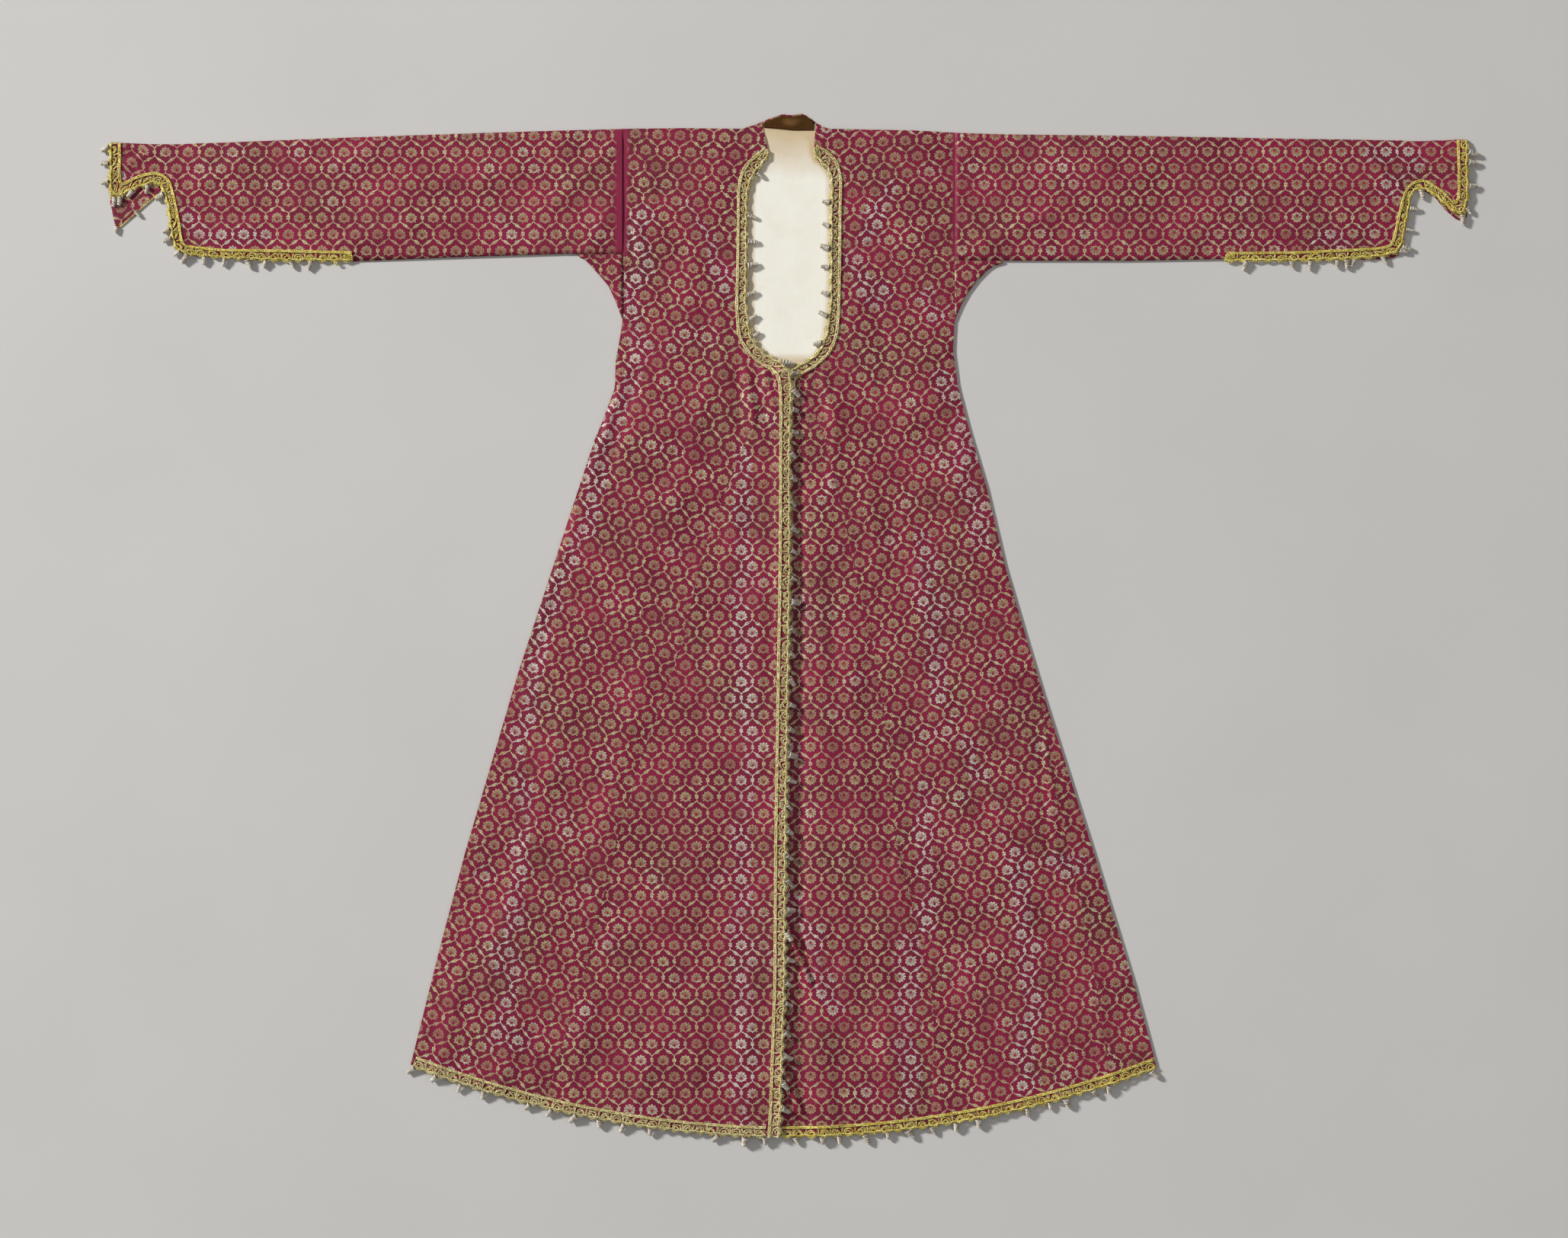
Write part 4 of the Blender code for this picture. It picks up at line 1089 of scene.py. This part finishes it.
def tassel_tree():
    """A coil wound on a tapering core at each point, turned and sized by the point's values."""
    tree, given, out = node_tree("coil_tassels", (
        ("Turns", "Float"), ("Top Radius", "Float"), ("End Radius", "Float"),
        ("Length", "Float"), ("Wire Radius", "Float"), ("Core Finish", "Material"),
        ("Finish", "Material")))
    coil = add_node(tree, "GeometryNodeCurveSpiral", Resolution=9,
                    Rotations=given["Turns"], Start_Radius=given["Top Radius"],
                    End_Radius=given["End Radius"], Height=given["Length"])
    wire = add_node(tree, "GeometryNodeCurvePrimitiveCircle", Resolution=4,
                    Radius=given["Wire Radius"])
    wound = add_node(tree, "GeometryNodeCurveToMesh", Curve=coil.outputs[0],
                     Profile_Curve=wire.outputs[0], Fill_Caps=True)
    core = add_node(tree, "GeometryNodeMeshCone", {"fill_type": "NGON"}, Vertices=8,
                    Radius_Top=given["End Radius"],
                    Radius_Bottom=given["Top Radius"], Depth=given["Length"])
    dark = add_node(tree, "GeometryNodeSetMaterial", Geometry=core.outputs[0],
                    Material=given["Core Finish"])
    bright = add_node(tree, "GeometryNodeSetMaterial", Geometry=wound.outputs[0],
                      Material=given["Finish"])
    both = tree.nodes.new("GeometryNodeJoinGeometry")
    tree.links.new(dark.outputs[0], both.inputs[0])
    tree.links.new(bright.outputs[0], both.inputs[0])
    turned = add_node(tree, "FunctionNodeEulerToRotation", Euler=named(tree, "turn", "FLOAT_VECTOR"))
    placed = add_node(tree, "GeometryNodeInstanceOnPoints", Points=given["Geometry"],
                      Instance=both.outputs[0], Rotation=turned.outputs[0],
                      Scale=named(tree, "size", "FLOAT_VECTOR"))
    is_core = add_node(tree, "GeometryNodeMaterialSelection",
                       Material=given["Core Finish"])
    is_wire = add_node(tree, "FunctionNodeBooleanMath", {"operation": "NOT"},
                       Boolean=is_core.outputs[0])
    return close_tree(tree, given, out, placed.outputs[0], is_wire.outputs[0])


def stitch_tree():
    """Small rounded stitches set at even steps along the edges it is given."""
    tree, given, out = node_tree("hand_stitches", (
        ("Step", "Float"), ("Length", "Float"), ("Thickness", "Float"), ("Seed", "Int"),
        ("Finish", "Material")))
    path = add_node(tree, "GeometryNodeMeshToCurve", Mesh=given["Geometry"])
    even = add_node(tree, "GeometryNodeResampleCurve", Curve=path.outputs[0])
    even.mode = "LENGTH"
    tree.links.new(given["Step"], next(s for s in even.inputs if s.name == "Length"))
    ball = add_node(tree, "GeometryNodeMeshUVSphere", Segments=6, Rings=4, Radius=0.5)
    stretch = add_node(tree, "ShaderNodeCombineXYZ", X=given["Length"],
                       Y=given["Thickness"], Z=given["Thickness"])
    shaped = add_node(tree, "GeometryNodeTransform", Geometry=ball.outputs[0],
                      Scale=stretch.outputs[0])
    tangent = tree.nodes.new("GeometryNodeInputTangent")
    lie = add_node(tree, "FunctionNodeAlignRotationToVector", {"axis": "X"},
                   Vector=tangent.outputs[0])
    vary = add_node(tree, "FunctionNodeRandomValue", {"data_type": "FLOAT_VECTOR"},
                    Min=(0.7, 0.8, 0.8), Max=(1.2, 1.2, 1.2), Seed=given["Seed"])
    placed = add_node(tree, "GeometryNodeInstanceOnPoints", Points=even.outputs[0],
                      Instance=shaped.outputs[0], Rotation=lie.outputs[0],
                      Scale=vary.outputs[0])
    return close_tree(tree, given, out, placed.outputs[0])


def grown(name, lines, marks, tree, values):
    """A plain mesh piece from a tree that works on polylines (or loose points) in millimetres."""
    points = np.concatenate(lines) * MM
    edges, start = [], 0
    for poly in lines:
        edges += [(start + i, start + i + 1) for i in range(len(poly) - 1)]
        start += len(poly)
    seed = bpy.data.meshes.new(name)
    seed.from_pydata(points.tolist(), edges, [])
    for label, (kind, numbers) in marks.items():
        made = seed.attributes.new(label, kind, "POINT")
        field = "value" if kind == "FLOAT" else "vector"
        made.data.foreach_set(field, np.asarray(numbers, np.float32).ravel())
    piece = bpy.data.objects.new(name, seed)
    step = piece.modifiers.new("make", "NODES")
    step.node_group = tree
    sockets = {s.name: s.identifier for s in tree.interface.items_tree if s.in_out == "INPUT"}
    for label, value in values.items():
        step[sockets[label]] = value
    bpy.context.scene.collection.objects.link(piece)
    bpy.context.view_layer.update()
    graph = bpy.context.evaluated_depsgraph_get()
    done = bpy.data.meshes.new_from_object(piece.evaluated_get(graph))
    piece.modifiers.remove(step)
    piece.data = done
    done.name = name
    bpy.data.meshes.remove(seed)
    return piece


# Lace: sizes along it, and across its width from the corded edge.
LACE_CLEAR = 0.4
LACE_PITCH = 16.0
LACE_WIDTH = 16.5
STRIP_STEP = 6
HEM_LACE_ROWS = 27
# Twin cords with a thin filling thread between them.
CORD_RADIUS = 0.95
CORD_LINES = (0.9, 3.1)
CORD_STEP = 2.4
FILL_LINE, FILL_RADIUS = 2.0, 0.5
# The braid: two strands of two plies, columns: shift across, swing, lift, start of its turn.
BRAID_LINE = 13.2
BRAID_WAVE = 1.3
BRAID_STEP = 1.05
BRAID_STRANDS = ((0.5, 1.0, 1.1, 0.0), (-0.5, 0.35, 1.6, 1.3))
PLY_RADIUS, PLY_SWING, PLY_TURN = 0.82, 0.85, 4.2
# Picots outside the braid, and the bars and arcs of fine wire between braid and cords.
PICOT_LINE, PICOT_WAVE, PICOT_TURN = 15.6, 1.6, 3.4
FINE_WIRE = 0.42
BAR_WIRE = 0.45
BAR_FROM, BAR_TO = 3.6, 12.0
BAR_PAIR = (-0.5, 0.5)
ARC_FOOT = 11.6
ARC_RADII = (3.0, 5.6)
ARC_PAIR = (-0.45, 0.45)
# Loose wire in knots, and the bare cord along the tongue of the right cuff, in two plies.
KNOT_WIRE = 0.5
TONGUE_CORD_START, TONGUE_CORD_RUN = (-880.5, 522.5), (54, 47)
TONGUE_CORD_TURN, TONGUE_CORD_SWING, TONGUE_CORD_WIRE = 60, 0.4, 0.55


def hem_lace(x_start, x_end):
    """Rows of the hem's lace, as in the lace tables."""
    rows = []
    for x in np.linspace(x_start, x_end, HEM_LACE_ROWS):
        slope = 2 * HEM_RISE * x / HEM_HALF_WIDTH ** 2
        down = math.hypot(1, slope)
        side_x, side_y = slope / down, -1 / down
        rows.append((x + side_x * HEM_LACE_PROUD, hem_y(x) + side_y * HEM_LACE_PROUD,
                     x - side_x * HEM_LACE_INSIDE, hem_y(x) - side_y * HEM_LACE_INSIDE))
    return rows


class Strip:
    """A lace band: places along it (millimetres of its middle line) and across it."""

    def __init__(self, table, height):
        rows = np.array(table, float)
        fine = [rows[0]]
        for a, b in zip(rows, rows[1:]):
            count = max(1, round(float(np.linalg.norm((b - a)[:2])) / STRIP_STEP))
            fine += [a + (b - a) * i / count for i in range(1, count + 1)]
        rows = np.array(fine)
        for _ in range(2):
            inner = (rows[:-2] + 2 * rows[1:-1] + rows[2:]) / 4
            rows = np.concatenate([rows[:1], inner, rows[-1:]])
        middle = (rows[:, :2] + rows[:, 2:]) / 2
        steps = np.linalg.norm(np.diff(middle, axis=0), axis=1)
        self.run = np.concatenate([[0.0], np.cumsum(steps)])
        self.length = self.run[-1]
        self.near, self.far = rows[:, :2], rows[:, 2:]
        self.height = height

    def edge(self, at, rows):
        """Points of one edge at places along the strip."""
        return np.stack([np.interp(at, self.run, rows[:, i]) for i in (0, 1)], -1)

    def place(self, along, across, lift):
        """Points at `along`, `across` from the corded edge, `lift` above the cloth."""
        far, near = self.edge(along, self.far), self.edge(along, self.near)
        share = (np.asarray(across) / LACE_WIDTH)[:, None]
        flat = far + share * (near - far)
        z = self.height(flat[:, 0], flat[:, 1]) + LACE_CLEAR + lift
        return np.column_stack([flat, z])


def lace_wires(strip, seed):
    """The lace's wires as polylines with their radii."""
    chance = np.random.RandomState(seed)
    units = max(2, round(strip.length / LACE_PITCH))
    pitch = strip.length / units
    lines, radii = [], []

    def add(along, across, lift, radius):
        """One wire."""
        lines.append(strip.place(np.asarray(along), np.asarray(across), np.asarray(lift)))
        radii.append(np.full(len(along), radius * MM))

    along = np.arange(0, strip.length + CORD_STEP / 2, CORD_STEP)
    for across in CORD_LINES:
        sway = 0.18 * np.sin(along / 3.1 + across * 7)
        add(along, across + sway, CORD_RADIUS + 0.15 * np.sin(along / 2.3), CORD_RADIUS)
    add(along, FILL_LINE + 0.35 * np.sin(along * 1.9), np.full(len(along), CORD_RADIUS + 0.35),
        FILL_RADIUS)

    along = np.arange(0, strip.length + 0.6, BRAID_STEP)
    wave = 2 * math.pi * along / pitch
    for shift, swing, lift, turn in BRAID_STRANDS:
        centre = BRAID_LINE + shift - swing * BRAID_WAVE * np.cos(wave + turn * 0.4)
        centre = centre + 0.3 * np.sin(along / 7)
        for ply in (0, 1):
            spin = along * (2 * math.pi / PLY_TURN) + ply * math.pi + turn
            add(along, centre + PLY_SWING * np.cos(spin), lift + 0.6 * np.sin(spin), PLY_RADIUS)
    curl = along * 2 * math.pi / PICOT_TURN
    picot = PICOT_LINE - PICOT_WAVE * np.cos(wave) + 0.6 * np.sin(curl)
    add(along, picot, 0.7 + 0.3 * np.cos(curl), FINE_WIRE)

    for unit in range(units):
        middle = (unit + 0.5) * pitch + chance.uniform(-1.4, 1.4)
        bar = (unit + chance.uniform(-0.06, 0.1)) * pitch
        for pair in BAR_PAIR:
            down = np.linspace(BAR_FROM, BAR_TO, 6)
            slide = np.clip(bar + pair + (down - 8) * chance.uniform(-0.25, 0.25), 0, strip.length)
            add(slide, down, 0.7 + 0.3 * np.sin(down), BAR_WIRE)
        for ring, size in enumerate(ARC_RADII):
            size = size * chance.uniform(0.84, 1.12)
            lean = chance.uniform(-0.5, 0.5)
            tuck = chance.uniform(-0.5, 0.5)
            angle = np.linspace(-0.2 + min(tuck, 0), math.pi + 0.2 + max(tuck, 0), 14)
            for pair in ARC_PAIR:
                reach = size + pair
                along = middle + reach * np.cos(angle) + lean * reach * np.sin(angle)
                across = ARC_FOOT - reach * np.sin(angle) * 1.05
                keep = (along > 0) & (along < strip.length)
                if keep.sum() < 3:
                    continue
                lift = 0.55 + 0.25 * ring + 0.15 * np.sin(angle * 3 + pair)
                add(along[keep], across[keep], lift[keep], FINE_WIRE)
    return lines, radii


def knot(strip, along, across, size, turns, seed):
    """A bunch of loose wire loops."""
    chance = np.random.RandomState(seed)
    angle = np.linspace(0, turns * 2 * math.pi, turns * 14)
    reach = size * (0.55 + 0.35 * np.sin(angle * 0.37 + chance.uniform(0, 6)))
    x = along + reach * np.cos(angle) + size * 0.25 * np.sin(angle * 0.23)
    y = across + reach * np.sin(angle + 0.4) * 0.8
    x = np.clip(x, 0, strip.length)
    return strip.place(x, y, 1.2 + 1.3 * (0.5 + 0.5 * np.sin(angle * 0.61)))


# Knots of each lace, columns: place along it (from its end if negative), across it, size, turns.
KNOTS = {
    "lace_left_edge": ((4, 9, 6.0, 7),),
    "lace_right_edge": ((3, 9, 4.5, 4),),
    "lace_left_cuff": ((-4, 8, 7.0, 9), (92, 17, 3.5, 2)),
    "lace_right_cuff": ((-5, 8, 6.5, 7), (-22, 19, 3.5, 2), (60, 17, 3.0, 2)),
}


def tongue_cord(turn):
    """One ply of the bare cord along the tongue of the right cuff."""
    share = np.linspace(0, 1, 40)
    spin = share * TONGUE_CORD_TURN + turn
    return np.column_stack([
        TONGUE_CORD_START[0] + share * TONGUE_CORD_RUN[0] + TONGUE_CORD_SWING * np.sin(spin),
        TONGUE_CORD_START[1] + share * TONGUE_CORD_RUN[1] - TONGUE_CORD_SWING * np.sin(spin),
        0.95 + 0.35 * np.cos(spin)])


def make_lace(tree, finishes):
    """Each lace as one mesh of wires, and the strips that the tassels hang on."""
    right_top, left_top = front_top(True), front_top(False)
    tables = {
        "lace_right_edge": (RIGHT_EDGE_LACE, right_top, "pale"),
        "lace_left_edge": (LEFT_EDGE_LACE, left_top, "pale"),
        "lace_right_hem": (hem_lace(-491, -28), right_top, "pale"),
        "lace_left_hem": (hem_lace(-8, 484), left_top, "bright"),
        "lace_right_cuff": (RIGHT_CUFF_LACE, sleeve_top(RIGHT_SLEEVE), "bright"),
        "lace_left_cuff": (LEFT_CUFF_LACE, sleeve_top(LEFT_SLEEVE), "bright"),
    }
    made, strips = {}, {}
    for seed, (node, (table, height, finish)) in enumerate(tables.items()):
        strip = Strip(table, height)
        lines, radii = lace_wires(strip, seed)
        for i, (along, across, size, turns) in enumerate(KNOTS.get(node, ())):
            along = along if along >= 0 else strip.length + along
            lines.append(knot(strip, along, across, size, turns, seed * 7 + i))
            radii.append(np.full(len(lines[-1]), KNOT_WIRE * MM))
        if node == "lace_right_cuff":
            for turn in (0.0, math.pi):
                lines.append(tongue_cord(turn))
                radii.append(np.full(len(lines[-1]), TONGUE_CORD_WIRE * MM))
        name = f"{node}_wire"
        made[name] = grown(name, lines, {"radius": ("FLOAT", np.concatenate(radii))}, tree,
                           {"Sides": 4, "Finish": finishes[finish]})
        strips[node] = strip
    return made, strips


# Where tassels hang: the lace that holds them, what they lie on, and their places (x, y).
# A place with a third number lies loose on the cuff's under layer, turned by so many degrees.
TASSELS = {
    "tassels_right_neck": ("lace_right_edge", "lining", (
        (-41, 598), (-45, 542), (-47, 507), (-52, 475), (-51, 437), (-51, 404), (-45, 382))),
    "tassels_left_neck": ("lace_left_edge", "lining", (
        (55, 558), (52, 527), (53, 498), (51, 473), (51, 437), (54, 408), (47, 373))),
    "tassels_front_edge": ("lace_right_edge", "left_front", (
        (-3, 354), (10, 337), (6, 313), (8, 287), (7, 258), (12, 230), (7, 198), (7, 167),
        (9, 132), (6, 102), (8, 66), (5, 34), (6, 0), (4, -33), (6, -66), (3, -100), (6, -132),
        (2, -166), (5, -198), (2, -232), (5, -265), (2, -298), (4, -330), (3, -370), (3, -399),
        (0, -434), (0, -465), (-2, -492), (-2, -530), (-2, -561), (-7, -596), (-6, -630))),
    "tassels_right_hem": ("lace_right_hem", "floor", (
        (-489, -579), (-458, -585), (-429, -600), (-397, -606), (-336, -621), (-307, -627),
        (-275, -635), (-246, -642), (-213, -649), (-180, -654), (-90, -667), (-55, -672),
        (-30, -674))),
    "tassels_left_hem": ("lace_left_hem", "floor", (
        (10, -671), (46, -673), (69, -673), (102, -673), (132, -671), (159, -669), (191, -663),
        (223, -657), (252, -649), (317, -637), (346, -628), (367, -624), (406, -625),
        (428, -618), (480, -589))),
    "tassels_right_cuff_end": ("lace_right_cuff", "floor", ((-897, 631), (-895, 609), (-899, 585))),
    "tassels_right_cuff_slit": ("lace_right_cuff", "sleeve", (
        (-887, 554), (-875, 562), (-857, 570), (-838, 576), (-824, 567), (-815, 522), (-812, 510),
        (-801, 488), (-790, 478), (-765, 478), (-737, 478), (-710, 474), (-684, 476),
        (-652, 476), (-624, 476), (-880, 527, -8), (-856, 547, 40))),
    "tassels_left_cuff_end": ("lace_left_cuff", "floor", (
        (899, 625), (898, 611), (897, 580), (899, 549))),
    "tassels_left_cuff_slit": ("lace_left_cuff", "sleeve", (
        (888, 536), (832, 568), (824, 549), (816, 522), (821, 494), (809, 491), (783, 481),
        (746, 478), (735, 477), (722, 481), (687, 477), (662, 477), (603, 473))),
}
# Degrees that a row of tassels is swung round from square to the lace.
TASSEL_SWING = {"tassels_front_edge": -32, "tassels_right_hem": -12, "tassels_left_hem": 10}
TASSEL_LENGTH = 11.5
TASSEL_TOP_RADIUS = 3.0
TASSEL_END_RADIUS = 2.1
TASSEL_WIRE = 0.86
TASSEL_TURNS = 6.0
# Where a tassel is tied, across the lace and above it, and the inner point that gives its way.
TIE_ACROSS, TIE_INNER, TIE_LIFT = 15.0, 10.0, 1.6
LOOSE_HEIGHT, LOOSE_SIZE = 2.9, (0.75, 0.75, 0.8)


def hung_tassel(place, node, strip, bed, chance):
    """Place, turn and size of one tassel tied to the lace, at the strip's point nearest to it."""
    near = np.arange(0, strip.length, 1.0)
    edge = strip.edge(near, strip.near)
    best = near[np.argmin(np.hypot(*(edge - np.array(place)).T))]
    start, inner = (strip.place(np.array([best]), np.array([across]), np.array([TIE_LIFT]))[0]
                    for across in (TIE_ACROSS, TIE_INNER))
    out = math.atan2(start[1] - inner[1], start[0] - inner[0])
    out += math.radians(chance.uniform(-26, 26) + TASSEL_SWING.get(node, 0))
    scale = chance.uniform(0.85, 1.2)
    tip = start[:2] + scale * TASSEL_LENGTH * np.array((math.cos(out), math.sin(out)))
    drop = min(bed(tip) + TASSEL_END_RADIUS + 0.9, start[2] + 1.5) - start[2]
    aim = Vector((tip[0] - start[0], tip[1] - start[1], drop)).normalized()
    fat = chance.uniform(0.85, 1.15)
    return start, tuple(aim.to_track_quat("Z", "Y").to_euler()), (scale * fat, scale * fat, scale)


def make_tassels(tree, strips, finish, core_finish):
    """Each row of tassels as one mesh: coils of wire on dark cores, lying on what is below."""
    left_top = front_top(False)
    beds = {"lining": lambda tip: LINING_TOP, "floor": lambda tip: 0.0, "sleeve": lambda tip: 0.0,
            "left_front": lambda tip: float(left_top(tip[:1], tip[1:])[0])}
    sizes = {"Turns": TASSEL_TURNS, "Top Radius": TASSEL_TOP_RADIUS * MM,
             "End Radius": TASSEL_END_RADIUS * MM, "Length": TASSEL_LENGTH * MM,
             "Wire Radius": TASSEL_WIRE * MM, "Core Finish": core_finish, "Finish": finish}
    made = {}
    for number, (node, (lace, rest, places)) in enumerate(TASSELS.items()):
        chance = np.random.RandomState(40 + number)
        rows = []
        for place in places:
            if len(place) == 3:
                turn = (math.pi / 2, 0.0, math.radians(place[2]))
                rows.append(((place[0], place[1], LOOSE_HEIGHT), turn, LOOSE_SIZE))
            else:
                rows.append(hung_tassel(place, node, strips[lace], beds[rest], chance))
        points, turns, scales = zip(*rows)
        marks = {"turn": ("FLOAT_VECTOR", turns), "size": ("FLOAT_VECTOR", scales)}
        name = f"{node}_coils"
        made[name] = grown(name, [np.array([p]) for p in points], marks, tree, sizes)
    return made


# Seams of the body that show, columns: upper y, lower y, seam, on the right front, shift in x.
SEAMS = (
    (340, -650, RIGHT_GORE_SEAM, True, -1.6), (330, -650, LEFT_GORE_SEAM, False, 1.6),
    (-95, -600, SIDE_GORE_SEAM, False, -1.6), (648, 405, RIGHT_SIDE, True, 2.4),
    (648, 405, LEFT_SIDE, False, -2.4),
)
SEAM_STEP = 6.0


def seam_lines():
    """The seams that show, as polylines just above the cloth."""
    lines = []
    for y_from, y_to, table, is_right, shift in SEAMS:
        y = np.arange(y_from, y_to, -SEAM_STEP)
        x = eased(table, y) + shift
        y_real = body_y(y, x)
        lines.append(np.column_stack([x, y_real, front_low(x, y_real, is_right) + CLOTH]))
    x = np.arange(-27.0, 33.0, 2.0)
    y = read(FACING_FOOT, x) + 2.6
    lines.append(np.column_stack([x, y, np.full(len(x), FRONT_LOW + LINING_WALL + 0.35)]))
    return lines


# The floor, in metres: half its width, and how far it lies below the robe.
FLOOR_HALF = 9.0
FLOOR_BELOW = 0.0006
FLOOR_DARK, FLOOR_PALE = (0.60, 0.59, 0.58), (0.66, 0.65, 0.64)


def make_stage(material):
    """The plain floor below the robe."""
    data = bpy.data.meshes.new("floor")
    corners = [(x * FLOOR_HALF, y * FLOOR_HALF, -FLOOR_BELOW)
               for x, y in ((-1, -1), (1, -1), (1, 1), (-1, 1))]
    data.from_pydata(corners, [], [(0, 1, 2, 3)])
    data.materials.append(material)
    floor = bpy.data.objects.new("floor", data)
    bpy.context.scene.collection.objects.link(floor)


def floor_finish():
    made, tree, shader = new_material("pale_floor")
    tone = noise(tree, object_place(tree), 3.0, 4.0)
    tree.links.new(blended(tree, FLOOR_DARK, FLOOR_PALE, tone), shader.inputs["Base Color"])
    set_finish(shader, Roughness=0.9)
    return made


# Round soft lights, columns: name, place, width, watts, colour. All face the robe's middle.
LIGHTS = (
    ("key", (-10.4, 6.05, 7.0), 1.96, 2050, (1.0, 0.985, 0.96)),
    ("fill", (2.6, -1.4, 3.2), 2.4, 14, (1.0, 0.98, 0.96)),
    ("top", (0.0, 0.4, 4.5), 3.0, 16, (1.0, 1.0, 1.0)),
)
WORLD_COLOUR, WORLD_STRENGTH = (0.94, 0.93, 0.92, 1.0), 0.2


def add_light(name, place, size, watts, colour):
    """A round soft light."""
    data = bpy.data.lights.new(name, "AREA")
    data.shape, data.size, data.energy, data.color = "DISK", size, watts, colour
    made = bpy.data.objects.new(name, data)
    made.location = place
    made.rotation_euler = (Vector() - Vector(place)).to_track_quat("-Z", "Y").to_euler()
    bpy.context.scene.collection.objects.link(made)


def add_world():
    world = bpy.data.worlds.new("studio")
    world.use_nodes = True
    background = world.node_tree.nodes["Background"]
    background.inputs["Color"].default_value = WORLD_COLOUR
    background.inputs["Strength"].default_value = WORLD_STRENGTH
    bpy.context.scene.world = world


PHOTO_WIDE, PHOTO_HIGH = 2058, 1625
MIDDLE_PX_X, MIDDLE_PX_Y = 1033, 824
CAMERA_UP = 6.0


def add_camera():
    """Straight above, looking down, so that one pixel of the photo is one millimetre."""
    data = bpy.data.cameras.new("camera")
    data.sensor_width = 36.0
    data.lens = data.sensor_width * CAMERA_UP / (PHOTO_WIDE * MM)
    made = bpy.data.objects.new("camera", data)
    made.location = ((PHOTO_WIDE / 2 - MIDDLE_PX_X) * MM, (MIDDLE_PX_Y - PHOTO_HIGH / 2) * MM,
                     CAMERA_UP + 0.004)
    bpy.context.scene.collection.objects.link(made)
    bpy.context.scene.camera = made


silk = brocade()
# The third colour is what stains and painted light mix towards: painted shade on the cream, a painted
# sheen on the brown.
cream = woven_plain("cream_lining", pale=(1.0, 0.99, 0.90), dark=(0.97, 0.94, 0.82),
                    painted_light_and_stain_colour=(0.62, 0.43, 0.20), rough=0.9, sheen=0.1)
brown = woven_plain("brown_facing", pale=(0.080, 0.034, 0.004), dark=(0.038, 0.015, 0.001),
                    painted_light_and_stain_colour=(0.36, 0.17, 0.06), rough=0.7, sheen=0.02)
wires = {
    "pale": wire_metal("pale_gilt_wire", bright=(1.0, 0.91, 0.50), deep=(0.76, 0.63, 0.24),
                       gap=(0.05, 0.03, 0.01), rough=0.4, gap_share=0.465),
    "bright": wire_metal("bright_gilt_wire", bright=(1.0, 0.89, 0.28), deep=(0.78, 0.61, 0.10),
                         gap=(0.05, 0.03, 0.01), rough=0.38, gap_share=0.465),
}
coil_metal = wire_metal("silver_coil_wire", bright=(0.90, 0.86, 0.77), deep=(0.56, 0.48, 0.37),
                        gap=(0.09, 0.06, 0.04), rough=0.36, gap_share=0.36)
crimson_thread = thread_finish("crimson_thread", (0.20, 0.02, 0.05), (0.34, 0.05, 0.10))

cloths = make_fronts(silk)
cloths["back_cloth"] = make_back(silk)
cloths["lining_cloth"] = make_lining(cream)
cloths["facing_cloth"] = make_facing(brown)
for row in FOLDED:
    cloths[row[0]] = folded_cloth(*row, silk)
laces, strips = make_lace(wire_tree(), wires)
core_thread = thread_finish("core_thread", (0.10, 0.07, 0.05), (0.20, 0.15, 0.10))
tassels = make_tassels(tassel_tree(), strips, coil_metal, core_thread)
stitches = grown("seam_stitches", seam_lines(), {}, stitch_tree(),
                 {"Step": 5.2 * MM, "Length": 2.8 * MM, "Thickness": 0.5 * MM, "Seed": 3,
                  "Finish": crimson_thread})

# Columns: piece, part it stands for, slot, cut width and length, cut area, what it lies on.
SHEETS = (
    ("back_cloth", "back", "brocade", (0.99, 1.34), 0.86, []),
    ("front_right_cloth", "front_right_panel", "brocade", (0.21, 1.36), 0.25, ["back_cloth"]),
    ("front_left_cloth", "front_left_panel", "brocade", (0.24, 1.36), 0.27, ["back_cloth"]),
    ("side_gore_left_cloth", "front_left_panel", "brocade", (0.065, 0.53), 0.0175, ["back_cloth"]),
    ("gore_right_cloth", "front_right_gore", "brocade", (0.32, 1.01), 0.17, ["back_cloth"]),
    ("gore_left_cloth", "front_left_gore", "brocade", (0.22, 1.01), 0.14, ["back_cloth"]),
    ("sleeve_right_cloth", "sleeve_right", "brocade", (0.675, 0.34), 0.205, []),
    ("sleeve_left_cloth", "sleeve_left", "brocade", (0.675, 0.34), 0.21, []),
    ("gusset_right_cloth", "gusset_right", "brocade", (0.06, 0.17), 0.0047, []),
    ("gusset_left_cloth", "gusset_left", "brocade", (0.065, 0.16), 0.0045, []),
    ("lining_cloth", "back_lining", "lining", (0.151, 0.327), 0.043, ["back_cloth"]),
    ("facing_cloth", "neck_facing", "facing", (0.066, 0.022), 0.00095, ["lining_cloth"]),
)


def own(piece, slot, *nodes):
    """Ties a piece to the robe and hides the parts that it stands for; slot is not used."""
    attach(piece, "root")
    if nodes:
        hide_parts(*nodes)


for name, piece in laces.items():
    own(piece, "lace", name.removesuffix("_wire"))
for name, piece in tassels.items():
    own(piece, "tassels", name.removesuffix("_coils"))
own(stitches, "brocade")
for name, node, slot, flat, area, below in SHEETS:
    own(cloths[name], slot, node)

make_stage(floor_finish())
add_camera()
for light in LIGHTS:
    add_light(*light)
add_world()
bpy.context.scene.view_settings.view_transform = "Standard"
